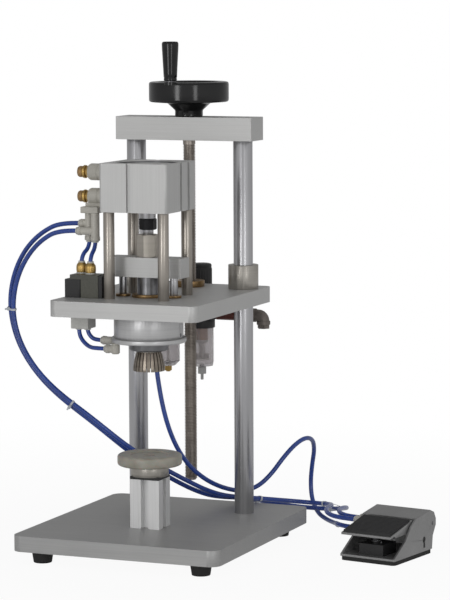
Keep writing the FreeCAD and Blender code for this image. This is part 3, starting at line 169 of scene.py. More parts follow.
# a fine and a broad noise: detail, share of the colour mask and swing of the roughness of each
patterns = {
    "metal": {"detail": (4.0, 2.0), "share": (0.6, 0.4), "swing": (0.09, 0.07), "shift": 0.28, "contrast": 2.2},
    "plastic": {"detail": (4.0, 2.0), "share": (0.5, 0.5), "swing": (0.12, 0.12), "shift": 0.3, "contrast": 2.4},
    "cast": {"detail": (5.0, 3.0), "share": (0.45, 0.55), "swing": (0.2, 0.16), "shift": 0.3, "contrast": 2.4},
}


def patterned(name, kind, light, dark, rough, relief, scale, mottle=30.0, sockets=None, stretch=(1, 1, 1)):
    look = patterns[kind]

    def build(shade):
        fine = shade.noise(scale, stretch, look["detail"][0])
        broad = shade.noise(mottle, (1, 1, 1), look["detail"][1])
        mask = (fine * look["share"][0] + broad * look["share"][1] - look["shift"]) * look["contrast"]
        level = rough + (fine - 0.5) * look["swing"][0] + (broad - 0.5) * look["swing"][1]
        return {
            "Base Color": shade.between(mask.clamped(), shown(*dark), shown(*light)),
            "Roughness": level.clamped(),
            "Normal": shade.bump(fine, relief),
        }

    finish(name, sockets or {}, build)


# light and dark colour, metallic, roughness, how the grain is stretched, relief in millimetres
metals = {
    "milledPlate": ((202, 202, 201), (186, 186, 185), 0.50, 0.46, (9, 420, 620), 0.04),
    # the base's milled aluminium: milledPlate's finish made darker, painted shade for the base
    "baseMilledPaintedShade": ((180, 180, 179), (162, 162, 162), 0.45, 0.46, (9, 380, 620), 0.05),
    "cylinderSkin": ((202, 202, 201), (188, 188, 187), 0.45, 0.48, (620, 620, 7), 0.03),
    "polishedBar": ((196, 196, 198), (176, 176, 179), 1, 0.31, (260, 260, 5), 0.002),
    "brushedSteel": ((180, 174, 166), (162, 156, 148), 0.95, 0.30, (240, 240, 4), 0.003),
    "turnedHead": ((212, 212, 212), (184, 184, 185), 0.85, 0.42, (5, 5, 1300), 0.01),
    "collarSteel": ((186, 182, 175), (162, 158, 151), 0.90, 0.38, (6, 6, 900), 0.006),
    "couplerSteel": ((206, 200, 190), (188, 182, 172), 0.55, 0.46, (5, 5, 300), 0.01),
    "screwThread": ((182, 174, 166), (134, 126, 119), 0.85, 0.38, (40, 40, 60), 0.03),
    "blackOxide": ((46, 46, 48), (26, 26, 28), 0.7, 0.42, (60, 60, 60), 0.04),
    "screwSteel": ((140, 140, 142), (100, 100, 102), 0.9, 0.33, (90, 90, 90), 0.03),
    "bronzeBush": ((150, 124, 88), (118, 94, 62), 0.85, 0.36, (6, 6, 900), 0.03),
    "brassTurned": ((208, 176, 110), (166, 134, 76), 0.95, 0.30, (900, 12, 12), 0.03),
    "colletSteel": ((164, 154, 142), (112, 104, 95), 0.92, 0.34, (60, 60, 300), 0.03),
    "castIron": ((142, 134, 128), (98, 92, 87), 0.55, 0.5, (60, 60, 60), 0.12),
    "extrusionBright": ((238, 238, 238), (218, 218, 218), 0.35, 0.36, (520, 520, 6), 0.05),
}
metalMottle = 14

# light and dark colour, roughness, relief in millimetres, scale of the fine and of the broad noise, other sockets
plastics = {
    "wheelBlack": ((20, 20, 21), (13, 13, 14), 0.17, 0.01, 380, 30, {"Specular IOR Level": 0.42}),
    "matteBlack": ((40, 40, 41), (26, 26, 27), 0.5, 0.08, 700),
    "valveGrey": ((88, 88, 78), (66, 66, 58), 0.42, 0.05, 600),
    "fittingGrey": ((204, 201, 192), (178, 175, 166), 0.38, 0.04, 500),
    "paleBlock": ((206, 206, 202), (184, 184, 180), 0.42, 0.05, 400),
    "releasePale": ((214, 214, 208), (190, 190, 184), 0.35, 0.03, 700),
    "nylonDisc": ((184, 181, 170), (148, 144, 133), 0.42, 0.08, 90, 22,
                  {"Subsurface Weight": 0.25, "Subsurface Scale": 0.01}),
    "footRubber": ((34, 34, 34), (22, 22, 22), 0.7, 0.1, 500),
    "padRubber": ((44, 44, 45), (28, 28, 29), 0.62, 0.12, 900),
    "brownPipe": ((124, 62, 50), (88, 40, 34), 0.42, 0.04, 300),
    "hoseBlue": ((44, 80, 168), (32, 60, 138), 0.28, 0.03, 160, 20,
                 {"Coat Weight": 0.3, "Coat Roughness": 0.15}),
    "tiePale": ((214, 218, 222), (190, 194, 200), 0.4, 0.03, 800),
    "sinterBrown": ((188, 134, 84), (132, 88, 52), 0.75, 0.3, 1500, 60),
    "sinterBrass": ((196, 164, 118), (138, 108, 72), 0.55, 0.25, 1600, 60, {"Metallic": 0.7}),
    "bowlInner": ((226, 220, 214), (204, 198, 192), 0.45, 0.04, 300),
    "drainGrey": ((196, 196, 194), (164, 164, 162), 0.4, 0.03, 600),
}

castSkin = {
    "light": (172, 172, 172), "dark": (136, 136, 136), "rough": 0.38, "relief": 0.12,
    "scale": 620.0, "mottle": 16.0, "sockets": {"Metallic": 0.7},
}

bowlSkin = {
    "light": (246, 243, 244), "dark": (230, 226, 227), "rough": 0.14, "swing": 0.14,
    "haze": (46.0, (1, 1, 0.3), 3.0),
    "sockets": {"Transmission Weight": 0.80, "IOR": 1.3, "Specular IOR Level": 0.5},
}


def clearPlastic(shade):
    haze = shade.noise(*bowlSkin["haze"])
    return {
        "Base Color": shade.between(haze, shown(*bowlSkin["dark"]), shown(*bowlSkin["light"])),
        "Roughness": (bowlSkin["rough"] + haze * bowlSkin["swing"]).clamped(),
    }


def makeFinishes():
    for name, (light, dark, metallic, rough, stretch, relief) in metals.items():
        patterned(name, "metal", light, dark, rough, relief, 1.0, metalMottle, {"Metallic": metallic}, stretch)
    for name, values in plastics.items():
        patterned(name, "plastic", *values)
    patterned("castAluminium", "cast", **castSkin)
    finish("clearBowl", bowlSkin["sockets"], clearPlastic)


makeFinishes()
print("finishes made:", len(finishes))


# shapes are pairs of vertex and face lists, in millimetres until a piece is made
def turnedShape(profile, sides=64, closed=False, flutes=0, fluteDepth=0.0, fluted=()):
    verts, faces, rings = [], [], []
    for row, (radius, height) in enumerate(profile):
        if radius == 0:      # a single point on the axis
            rings.append([len(verts)])
            verts.append((0.0, 0.0, height))
            continue
        start = len(verts)
        for k in range(sides):
            angle = 2 * math.pi * k / sides
            reach = radius
            if row in fluted:
                reach -= fluteDepth * (0.5 - 0.5 * math.cos(flutes * angle)) ** 2
            verts.append((reach * math.cos(angle), reach * math.sin(angle), height))
        rings.append(list(range(start, start + sides)))
    pairs = list(zip(rings, rings[1:]))
    if closed:
        pairs.append((rings[-1], rings[0]))
    for lower, upper in pairs:
        for k in range(sides):
            after = (k + 1) % sides
            if len(lower) == 1 and len(upper) == 1:
                continue
            if len(lower) == 1:
                faces.append((lower[0], upper[after], upper[k]))
            elif len(upper) == 1:
                faces.append((lower[k], lower[after], upper[0]))
            else:
                faces.append((lower[k], lower[after], upper[after], upper[k]))
    return verts, faces


def pinShape(radius, low, high, sides):
    return turnedShape([(0, low), (radius, low), (radius, high), (0, high)], sides)


def prismShape(corners, low, high):
    count = len(corners)
    verts = [(x, y, low) for x, y in corners] + [(x, y, high) for x, y in corners]
    faces = [tuple(range(count))[::-1], tuple(range(count, 2 * count))]
    faces += [(k, (k + 1) % count, count + (k + 1) % count, count + k) for k in range(count)]
    return verts, faces


def boxShape(low, high):
    corners = [(low[0], low[1]), (high[0], low[1]), (high[0], high[1]), (low[0], high[1])]
    return prismShape(corners, low[2], high[2])


def hexShape(across, low, high, turn=0.0):
    reach = across / 2 / math.cos(math.pi / 6)
    corners = [(reach * math.cos(turn + k * math.pi / 3), reach * math.sin(turn + k * math.pi / 3))
               for k in range(6)]
    return prismShape(corners, low, high)


turnsTo = {
    "Z": Matrix.Identity(4),
    "-Z": Matrix.Rotation(math.pi, 4, "X"),
    "X": Matrix.Rotation(math.pi / 2, 4, "Y"),
    "-X": Matrix.Rotation(-math.pi / 2, 4, "Y"),
    "-Y": Matrix.Rotation(math.pi / 2, 4, "X"),
}


def moved(shape, matrix):
    return [tuple(matrix @ Vector(v)) for v in shape[0]], shape[1]


def placed(shape, at, axis="Z"):
    return moved(shape, Matrix.Translation(at) @ turnsTo[axis])


# quads between rows of the same number of points, each row a closed loop
def gridFaces(rows, sides, closed=False):
    faces = []
    for row in range(rows if closed else rows - 1):
        here, there = row * sides, (row + 1) % rows * sides
        for k in range(sides):
            after = (k + 1) % sides
            faces.append((here + k, here + after, there + after, there + k))
    return faces


def cappedFaces(rows, sides):      # the same with a flat face over the first and the last row
    return gridFaces(rows, sides) + [tuple(range(sides))[::-1], tuple(range((rows - 1) * sides, rows * sides))]


def tubeShape(points, radius, sides):
    points = [Vector(p) for p in points]
    ways = []
    for k in range(len(points)):
        before, after = points[max(k - 1, 0)], points[min(k + 1, len(points) - 1)]
        ways.append((after - before).normalized())
    side = ways[0].orthogonal().normalized()
    verts = []
    for k, (point, way) in enumerate(zip(points, ways)):
        if k:
            side = ways[k - 1].rotation_difference(way) @ side
            side = (side - way * side.dot(way)).normalized()
        other = way.cross(side)
        for step in range(sides):
            angle = 2 * math.pi * step / sides
            out, up = radius * math.cos(angle), radius * math.sin(angle)
            verts.append(tuple(point + side * out + other * up))
    return verts, cappedFaces(len(points), sides)


def makePiece(name, shapes, body, finishName, replaced=(), sharp=38.0, edge=0.0, scale=mm):
    verts, faces = [], []
    for shapeVerts, shapeFaces in shapes:
        start = len(verts)
        verts += [tuple(c * scale for c in v) for v in shapeVerts]
        faces += [tuple(start + k for k in face) for face in shapeFaces]
    mesh = bpy.data.meshes.new(name)
    mesh.from_pydata(verts, [], faces)
    work = bmesh.new()
    work.from_mesh(mesh)
    bmesh.ops.recalc_face_normals(work, faces=work.faces)
    work.to_mesh(mesh)
    work.free()
    mesh.shade_smooth()
    mesh.set_sharp_from_angle(angle=math.radians(sharp))
    mesh.materials.append(finishes[finishName])
    made = addThing(name, mesh)
    if edge:
        soften(made, edge, weld=False)
    if replaced:
        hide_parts(*replaced)
    if body:
        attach(made, body)
    return made


edges = {"segments": 2, "angle": 32.0, "weld": 0.000002}


# a small radius along every edge that catches the light
def soften(thing, width, weld=True):
    if weld:
        join = thing.modifiers.new("join", "WELD")
        join.merge_threshold = edges["weld"]
    rounding = thing.modifiers.new("edges", "BEVEL")
    rounding.width = width * mm
    rounding.segments = edges["segments"]
    rounding.limit_method = "ANGLE"
    rounding.angle_limit = math.radians(edges["angle"])
    rounding.use_clamp_overlap = True
    rounding.harden_normals = True


# control points of the hoses, in metres, as the frame's own routes have them
hoses = {
    "diameter": 0.006,
    "outer": [
        (-0.09, -0.05, 0.421), (-0.1181, -0.05, 0.421), (-0.144, -0.048, 0.4089),
        (-0.1657, -0.0455, 0.3911), (-0.182, -0.043, 0.3683), (-0.1926, -0.041, 0.3424),
        (-0.1973, -0.039, 0.3147), (-0.1951, -0.0366, 0.2867), (-0.1863, -0.0355, 0.2601),
        (-0.1722, -0.0338, 0.2358), (-0.1546, -0.0313, 0.2141), (-0.1344, -0.0274, 0.1949),
        (-0.113, -0.0219, 0.1775), (-0.0921, -0.0144, 0.1603), (-0.0728, -0.0049, 0.1422),
        (-0.0548, 0.0069, 0.124), (-0.0373, 0.0209, 0.107), (-0.0205, 0.0372, 0.0914),
        (-0.0049, 0.0556, 0.077), (0.0091, 0.0762, 0.0639), (0.0216, 0.0991, 0.0535),
        (0.0329, 0.1241, 0.0475), (0.0437, 0.1497, 0.0431), (0.0558, 0.1744, 0.037),
        (0.0711, 0.1969, 0.0301), (0.0915, 0.2151, 0.024), (0.1172, 0.2257, 0.0208),
        (0.1451, 0.2258, 0.0214), (0.1681, 0.211, 0.0261), (0.1823, 0.1877, 0.0321),
        (0.1895, 0.1611, 0.0375), (0.1925, 0.138, 0.0412), (0.196, 0.117, 0.042),
        (0.206, 0.099, 0.0415), (0.2216, 0.0886, 0.041), (0.2394, 0.0855, 0.041),
    ],
    "inner": [
        (-0.09, -0.058, 0.412), (-0.1178, -0.058, 0.412), (-0.1426, -0.0572, 0.3983),
        (-0.1626, -0.0534, 0.3792), (-0.1768, -0.0523, 0.3555), (-0.1851, -0.0512, 0.329),
        (-0.187, -0.0502, 0.3014), (-0.1816, -0.0491, 0.2742), (-0.1699, -0.0477, 0.2491),
        (-0.1537, -0.0455, 0.2267), (-0.1344, -0.042, 0.207), (-0.1134, -0.0369, 0.1896),
        (-0.0923, -0.0299, 0.1729), (-0.0728, -0.021, 0.1553), (-0.0547, -0.0099, 0.1374),
        (-0.0368, 0.0035, 0.1209), (-0.0194, 0.0189, 0.1057), (-0.0028, 0.0362, 0.0916),
        (0.0123, 0.0552, 0.0781), (0.0257, 0.0759, 0.0654), (0.0371, 0.0991, 0.0554),
        (0.0469, 0.1243, 0.0489), (0.0573, 0.1496, 0.0439), (0.0704, 0.1736, 0.0391),
        (0.0884, 0.1941, 0.0348), (0.1129, 0.2065, 0.032), (0.1402, 0.2053, 0.0318),
        (0.1599, 0.1868, 0.0353), (0.1702, 0.1614, 0.0394), (0.1753, 0.137, 0.0422),
        (0.1797, 0.114, 0.043), (0.19, 0.0925, 0.042), (0.2093, 0.0765, 0.041),
        (0.2369, 0.0717, 0.041),
    ],
    "supply": [
        (-0.024, 0.025, 0.3), (-0.024, 0.025, 0.2763), (-0.0224, 0.0252, 0.2527),
        (-0.0201, 0.0256, 0.2292), (-0.017, 0.0262, 0.2058), (-0.0131, 0.0275, 0.1825),
        (-0.0083, 0.0301, 0.1595), (-0.0022, 0.0349, 0.1372), (0.0054, 0.0428, 0.1162),
        (0.0144, 0.0545, 0.0978), (0.0245, 0.0695, 0.0826), (0.0352, 0.0868, 0.0707),
        (0.0462, 0.1059, 0.062), (0.0585, 0.1265, 0.0565), (0.0725, 0.146, 0.0605),
        (0.0865, 0.159, 0.0765), (0.099, 0.167, 0.0965), (0.11, 0.182, 0.113),
        (0.117, 0.204, 0.12), (0.119, 0.227, 0.1145), (0.1152, 0.2435, 0.0975),
        (0.1095, 0.2495, 0.0755), (0.107, 0.25, 0.051), (0.1105, 0.2465, 0.0275),
        (0.124, 0.234, 0.0122), (0.143, 0.218, 0.0078), (0.1595, 0.2003, 0.0082),
        (0.172, 0.1807, 0.0103), (0.1807, 0.1589, 0.0135), (0.1865, 0.137, 0.0191),
        (0.1912, 0.1215, 0.024), (0.1975, 0.105, 0.0275), (0.207, 0.091, 0.0287),
        (0.2215, 0.0815, 0.029), (0.2381, 0.0786, 0.029),
    ],
    "linkDiameter": 0.0054,
    "links": {
        "upper": [
            (-0.078, -0.05, 0.4), (-0.078, -0.05, 0.3958), (-0.0791, -0.054, 0.3886),
            (-0.0809, -0.061, 0.3844), (-0.082, -0.065, 0.3772), (-0.082, -0.065, 0.373),
        ],
        "front": [
            (-0.066, -0.058, 0.4), (-0.066, -0.058, 0.3961), (-0.0663, -0.0614, 0.389),
            (-0.0667, -0.0676, 0.384), (-0.067, -0.071, 0.3769), (-0.067, -0.071, 0.373),
        ],
        "long": [
            (-0.089, -0.06, 0.289), (-0.089, -0.06, 0.281), (-0.0829, -0.0617, 0.2718),
            (-0.0724, -0.0646, 0.2655), (-0.061, -0.072, 0.2655), (-0.046, -0.072, 0.2655),
        ],
        "near": [
            (-0.077, -0.06, 0.289), (-0.077, -0.06, 0.2851), (-0.0731, -0.06, 0.2784),
            (-0.0664, -0.06, 0.2745), (-0.056, -0.06, 0.2745),
        ],
    },
    "exits": {"outer": (-0.09, -0.05, 0.421), "inner": (-0.09, -0.058, 0.412), "supply": (-0.024, 0.025, 0.3)},
    "lengths": {"outer": 0.940, "inner": 0.896, "supply": 0.774},
    "nodes": {"outer": "loop_hose_outer", "inner": "loop_hose_inner", "supply": "supply_hose"},
    "bendFrom": {"outer": 0.06, "inner": 0.06, "supply": 0.12},
    "bendTo": {"outer": 0.38, "inner": 0.38, "supply": 0.285},
}


def followLine(name, points, fineness=8):
    curve = bpy.data.curves.new(name, "CURVE")
    curve.dimensions = "3D"
    spline = curve.splines.new("NURBS")
    spline.points.add(len(points) - 1)
    for knot, point in zip(spline.points, points):
        knot.co = (*point, 1.0)
    spline.order_u = 3
    spline.use_endpoint_u = True
    spline.resolution_u = fineness
    holder = bpy.data.objects.new(name, curve)
    line = bpy.data.meshes.new_from_object(holder)
    found = [v.co.copy() for v in line.vertices]
    bpy.data.objects.remove(holder)
    bpy.data.meshes.remove(line)
    bpy.data.curves.remove(curve)
    return found


tie = {
    "band": 2.6, "thick": 0.8, "slack": 0.4, "bendSteps": 8,
    "places": (0.17, 0.33, 0.47, 0.66, 0.8),      # shares of the outer hose's line
    "lockRise": 1.6,
    "lock": ((-2.2, -2.0, -1.6), (2.2, 2.0, 1.5)),
    "tail": ((-0.4, -1.1, 1.4), (0.4, 1.1, 4.6)),
}


# a flat strap drawn round two hoses, with its lock and a short tail
def tieShape(first, second, way):
    across = second - first
    across -= way * across.dot(way)
    gap = across.length
    side = across.normalized()
    up = way.cross(side)
    girth = hoses["diameter"] / 2 + tie["slack"] * mm
    rim = []
    for start, offset in ((0.5, 0.0), (-0.5, gap)):      # the bend round each hose
        for k in range(tie["bendSteps"] + 1):
            angle = math.pi * (start + k / tie["bendSteps"])
            rim.append(first + side * (offset + girth * math.cos(angle)) + up * (girth * math.sin(angle)))
    middle = first + across / 2
    half = way * (tie["band"] * mm / 2)
    verts, faces = [], []
    for point in rim:
        out = (point - middle).normalized() * (tie["thick"] * mm)
        verts += [tuple(v) for v in (point - half, point + half, point + out + half, point + out - half)]
    count = len(rim)
    for k in range(count):
        here, there = 4 * k, 4 * ((k + 1) % count)
        for a, b in ((0, 1), (1, 2), (2, 3), (3, 0)):
            faces.append((here + a, there + a, there + b, here + b))
    turn = Matrix((side, way, up)).transposed().to_4x4()
    turn.translation = middle + up * (girth + tie["lockRise"] * mm)
    turn = turn @ Matrix.Scale(mm, 4)
    return [(verts, faces), moved(boxShape(*tie["lock"]), turn), moved(boxShape(*tie["tail"]), turn)]


# bakes the piece's placement into its mesh; neither end is tied to a body
def hangBetween(thing, key):
    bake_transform(thing)


def makeHoses():
    lines = {key: followLine("line." + key, hoses[key]) for key in hoses["nodes"]}
    outer, inner = lines["outer"], lines["inner"]
    for number, share in enumerate(tie["places"]):
        k = int(share * (len(outer) - 1))
        here = outer[k]
        way = (outer[k + 1] - outer[k - 1]).normalized()
        there = min(inner, key=lambda p: (p - here).length)
        strap = makePiece("cableTie%d" % (number + 1), tieShape(here, there, way), None,
                          "tiePale", scale=1.0)
        hangBetween(strap, "outer")
    for key, line in lines.items():
        tube = tubeShape(line, hoses["diameter"] / 2, 16)
        hose = makePiece("hose" + key.title(), [tube], None, "hoseBlue",
                         (hoses["nodes"][key],), sharp=60, scale=1.0)
        hangBetween(hose, key)
        [tuple(p) for p in line]
    links = [tubeShape(followLine("link." + name, points, 6), hoses["linkDiameter"] / 2, 12)
             for name, points in hoses["links"].items()]
    makePiece("linkHoses", links, "platform", "hoseBlue", ("short_hoses",), sharp=60, scale=1.0)


makeHoses()
print("hoses laid")


ramAt = (0, -43, 0)        # axes that stand upright through the crimping head and the lead screw
screwAt = (0, 90, 0)


# sections are rows of radius and height, from the foot round the outside
handwheel = {
    "at": (0, 90, 551),
    "section": [
        (7, 0.4), (17.2, 0.4), (18, 1.2), (18, 7.4), (18.6, 8.6), (27, 16.4), (28.6, 17.4), (44, 18.6),
        (49.2, 19), (50.7, 19.6), (51.5, 20.9), (51.7, 22.8), (51.7, 41.6), (51.4, 43.3), (50.4, 44.5),
        (48.8, 45), (43.4, 45), (41, 44.4), (39.4, 42.8), (38.4, 39.6), (36.6, 31.4), (34.4, 28.2),
        (31.2, 26.2), (22, 25.2), (18.2, 25.2), (17, 25.9), (14.9, 29), (13.9, 30), (7, 30),
    ],
    "bossAt": (-6.33, 44.94, 596),      # the handle's seat on the rim
    "boss": [(0, -3), (8.4, -3), (8.4, 0.2), (7.9, 0.7), (4.4, 0.7), (0, 0.7)],
    "grubAt": (0, 72, 555.2),
    "grub": [(0, -2), (2.6, -2), (2.6, 0.2), (2.1, 0.5), (1.3, 0.5), (1.2, -0.8), (0, -0.8)],
    "capAt": (0, 90, 582.6),
    "cap": [(0, -2), (5.4, -2), (5.4, 1.4), (4.9, 1.9), (3.1, 1.9), (2.9, -0.6), (0, -0.6)],
    "washerAt": (0, 90, 581.4),
    "washer": [(2, -0.6), (9.4, -0.6), (9.8, -0.2), (9.8, 0.6), (9.4, 1), (2, 1)],
    "handleAt": (-6.33, 44.94, 598.3),
    "handle": [
        (4.1, 0), (7.6, 0), (8.4, 0.8), (8.5, 2.4), (8.2, 3.2), (8.2, 4.2), (8.6, 5), (8.8, 9),
        (9.1, 15), (9.6, 24), (10.1, 33), (10.5, 40), (10.7, 45), (10.7, 47.2), (10.3, 48.8),
        (9.3, 49.8), (8, 50), (6.8, 50), (6.4, 49.6), (6.3, 45.8), (4.1, 45.7),
    ],
}


def makeWheel():
    wheel = turnedShape(handwheel["section"], 96, closed=True)
    boss = turnedShape(handwheel["boss"], 40)
    grub = turnedShape(handwheel["grub"], 24)
    cap = turnedShape(handwheel["cap"], 32)
    washer = turnedShape(handwheel["washer"], 40, closed=True)
    grip = turnedShape(handwheel["handle"], 64, closed=True)
    makePiece("handwheelBody", [placed(wheel, handwheel["at"]), placed(boss, handwheel["bossAt"])],
              "screw", "wheelBlack", ("handwheel",), sharp=30)
    makePiece("wheelGrub", [placed(grub, handwheel["grubAt"], "-Y")], "screw", "blackOxide")
    makePiece("wheelCentre", [placed(cap, handwheel["capAt"]), placed(washer, handwheel["washerAt"])],
              "screw", "screwSteel")
    makePiece("handleGrip", [placed(grip, handwheel["handleAt"])], "handle", "wheelBlack",
              ("revolving_handle",), sharp=34)


leadScrew = {
    "foot": 75, "top": 520.7, "journalTop": 580,
    "major": 8, "minor": 6.85, "journal": 7,      # radii
    "pitch": 2, "sides": 28,
    "runOut": 2,      # plain length at each end of the thread
}


# one continuous ridge that climbs a pitch in each turn
def threadShape():
    sides, pitch = leadScrew["sides"], leadScrew["pitch"]
    low, high = leadScrew["foot"] + leadScrew["runOut"], leadScrew["top"] - leadScrew["runOut"]
    crest = [leadScrew["major"]] * 2 + [leadScrew["minor"]] * 2
    steps = len(crest)
    rows = int((high - low) / pitch * steps)
    verts, faces = [], []
    for row in range(rows):
        for k in range(sides):
            angle = 2 * math.pi * k / sides
            radius = crest[row % steps]
            verts.append((radius * math.cos(angle), radius * math.sin(angle),
                          low + pitch * (row / steps + k / sides)))
    for row in range(rows - 1):
        for k in range(sides):
            if k < sides - 1:
                faces.append((row * sides + k, row * sides + k + 1,
                              (row + 1) * sides + k + 1, (row + 1) * sides + k))
            elif row + steps + 1 < rows:
                faces.append((row * sides + k, (row + steps) * sides,
                              (row + steps + 1) * sides, (row + 1) * sides + k))
    last = rows - 1
    start = list(range(sides)) + [row * sides for row in range(steps, 0, -1)]
    end = [last * sides + k for k in range(sides - 1, -1, -1)]
    end += [(row + 1) * sides - 1 for row in range(last - steps, last)]
    for rim, height in ((start, low), (end, high)):      # both ends close on the axis, inside the core
        verts.append((0, 0, height))
        for here, there in zip(rim, rim[1:] + rim[:1]):
            faces.append((there, here, len(verts) - 1))
    return verts, faces


def makeLeadScrew():
    foot, top, journalTop = leadScrew["foot"], leadScrew["top"], leadScrew["journalTop"]
    major, minor, journal = leadScrew["major"], leadScrew["minor"], leadScrew["journal"]
    end = turnedShape([(0, foot), (minor - 0.6, foot), (minor, foot + 0.6), (minor, foot + 6),
                       (0, foot + 6)], 40)
    inside = minor - 0.02      # the core stays under the thread's valleys
    core = turnedShape([(0, foot + 1), (inside, foot + 1), (inside, top - 6), (major, top - 5.4),
                        (major, top), (journal, top), (journal, journalTop), (0, journalTop)], 48)
    makePiece("leadScrewThread", [placed(shape, screwAt) for shape in (threadShape(), end, core)],
              "screw", "screwThread", ("lead_screw",), sharp=30)


makeWheel()
makeLeadScrew()
print("wheel and screw made")


collet = {
    "fingers": 24,
    "slit": 1.4,
    # height, outer radius, inner radius from the mouth up to the shank
    "finger": [(236.5, 19.9, 16.9), (237.1, 20.3, 15.9), (239.4, 20.2, 15.4), (240.2, 20.2, 14.7),
               (242.4, 19.9, 14.5), (248.8, 18.8, 13.9), (256.1, 17.1, 12.6), (259.6, 15.9, 10.9),
               (261.2, 15.5, 10.5)],
    "across": (-1, -0.33, 0.33, 1),      # points over a finger's width, as shares of half of it
    "shank": [(10.5, 260.9), (15.5, 260.9), (15.5, 286.6), (14.9, 287.2), (10.5, 287.2)],
    "closeTo": 0.55,
    "holdAt": 13,
}


def makeCollet():
    makePiece("colletShank", [placed(turnedShape(collet["shank"], 72, closed=True), ramAt)],
              "platform", "collarSteel", ("collet",))
    count, across = collet["fingers"], collet["across"]
    for number in range(count):
        middle = 2 * math.pi * (number + 0.5) / count
        verts = []
        for height, outer, inner in collet["finger"]:
            for radius, shares in ((outer, across), (inner, across[::-1])):
                half = math.pi / count - math.asin(collet["slit"] / 2 / radius)
                for share in shares:
                    angle = middle + half * share
                    verts.append((radius * math.cos(angle), radius * math.sin(angle), height))
        shape = verts, cappedFaces(len(collet["finger"]), 2 * len(across))
        finger = makePiece("colletFinger%02d" % (number + 1), [placed(shape, ramAt)],
                           "platform", "colletSteel", ("collet",), sharp=40)
        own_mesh(finger)


makeCollet()
print("collet made")


silencer = {
    "roots": [(-46, -43, 486), (-46, -43, 455)],      # on the cylinder's left side
    "nut": (16, 0.2, 6.2, 0.26),      # across flats, foot, top, turn
    "stub": (6, -4, 14),                # radius, foot, top
    # distance from the cylinder's side and radius, brass part behind the grey collar
    "tail": [(0, 32), (8, 32), (8, 34), (6.6, 37.6), (6.6, 38.6), (0, 38.6)],
    "ring": [(6.4, 38.2), (7.9, 38.2), (8.4, 38.8), (8.4, 41.4), (7.9, 42), (6.4, 42)],
    "tip": [(0, 41.6), (5.6, 41.6), (5.6, 42.6), (6.9, 42.8), (7.1, 43.4), (7.1, 47.2), (6.3, 48.8),
            (4.4, 49.6), (0, 49.6)],
    "collar": [(6.2, 13.8), (9.9, 13.8), (10.7, 14.6), (10.7, 18.6), (10.2, 19.1), (10.2, 20.3),
               (10.7, 20.8), (10.7, 31), (10.4, 31.9), (9.4, 33.6), (8.9, 33.9), (6.2, 33.9)],
}
valvePort = {
    "places": [(-82, -65, 359), (-67, -71, 359)],
    "section": [(0, 1.6), (6, 1.6), (6.6, 2.4), (6.9, 4.6), (6.9, 7.6), (6.6, 10.4), (5.9, 12),
                (4.9, 13), (4.6, 14), (0, 14)],
    "flutes": {"flutes": 24, "fluteDepth": 0.3, "fluted": (3, 4, 5)},
    "seal": [(0, 0), (6.6, 0), (6.9, 0.3), (6.9, 1.5), (6.6, 1.8), (0, 1.8)],
}
oilPlug = {
    "at": (-58, 150, 207.5),
    "nut": (9, 1.6, 8.5),
    "foot": [(0, 0), (2.6, 0), (3.1, 0.5), (3.1, 2), (0, 2)],
}


def makeSilencers():
    brass, sinter, seals = [], [], []
    for root in silencer["roots"]:
        brass += [placed(shape, root, "-X") for shape in (
            hexShape(*silencer["nut"]), pinShape(*silencer["stub"], 40),
            turnedShape(silencer["tail"], 48), turnedShape(silencer["ring"], 12, closed=True))]
        sinter.append(placed(turnedShape(silencer["tip"], 48), root, "-X"))
    for at in valvePort["places"]:
        brass.append(placed(turnedShape(valvePort["section"], 96, **valvePort["flutes"]), at))
        seals.append(placed(turnedShape(valvePort["seal"], 48), at))
    brass.append(placed(hexShape(*oilPlug["nut"]), oilPlug["at"]))
    brass.append(placed(turnedShape(oilPlug["foot"], 32), oilPlug["at"]))
    makePiece("brassFittings", brass, "platform", "brassTurned", ("brass_fittings",),
              sharp=30, edge=0.3)
    makePiece("silencerCores", sinter, "platform", "sinterBrass", sharp=50)
    makePiece("portSeals", seals, "platform", "releasePale", sharp=40)


fittings = {
    "trunk": [(0, 0), (5.5, 0), (6, 0.5), (6, 5), (5.5, 5.4), (5.5, 37.4), (6, 37.8), (6, 42), (0, 42)],
    # each tee's foot, then its arm's height and reach
    "tees": [((-78, -50, 400), 421, 12), ((-66, -58, 400), 412, 24)],
    "block": [((-84, -64, 435), (-60, -40, 443)), ((-83.6, -50, 441), (-60.4, -38, 447))],
    "elbowNear": (-43, -60, 274.5),
    "elbowFar": (-33, -72, 265.5),
    "swivel": [(0, -6), (4.2, -6), (5.5, -4.4), (5.5, 4.6), (5, 5.2), (5, 7.5), (0, 7.5)],
    "supply": (-24, 25, 310),
    # ring round each hose where it goes in: place, direction it faces, hose radius
    "rings": [((-90, -50, 421), "-X", 3), ((-90, -58, 412), "-X", 3), ((-78, -50, 400), "-Z", 2.7),
              ((-66, -58, 400), "-Z", 2.7), ((-82, -65, 373), "Z", 2.7), ((-67, -71, 373), "Z", 2.7),
              ((-89, -60, 289), "-Z", 2.7), ((-77, -60, 289), "-Z", 2.7), ((-46, -72, 265.5), "-X", 2.7),
              ((-56, -60, 274.5), "-X", 2.7), ((-24, 25, 300), "-Z", 3)],
    "pedalPivot": (247, 77, 0),
    "pedalTurn": 10,
    "pedalRings": [((238, 84, 41), "-X", 3), ((238, 70, 41), "-X", 3), ((238, 77, 29), "-X", 3)],
}


def ringShape(hole):
    inner, outer = hole + 0.15, hole + 1.7
    return turnedShape([(inner, -1.2), (outer - 0.5, -1.2), (outer - 0.5, 0.7), (outer, 0.9), (outer, 1.7),
                        (outer - 0.35, 2), (hole + 0.5, 2), (inner, 1.7)], 32, closed=True)


def pedalTurned(shape):      # the pedal stands turned about a point on its left wall
    pivot = Vector(fittings["pedalPivot"])
    turn = Matrix.Translation(pivot) @ Matrix.Rotation(-math.radians(fittings["pedalTurn"]), 4, "Z")
    return moved(shape, turn @ Matrix.Translation(-pivot))


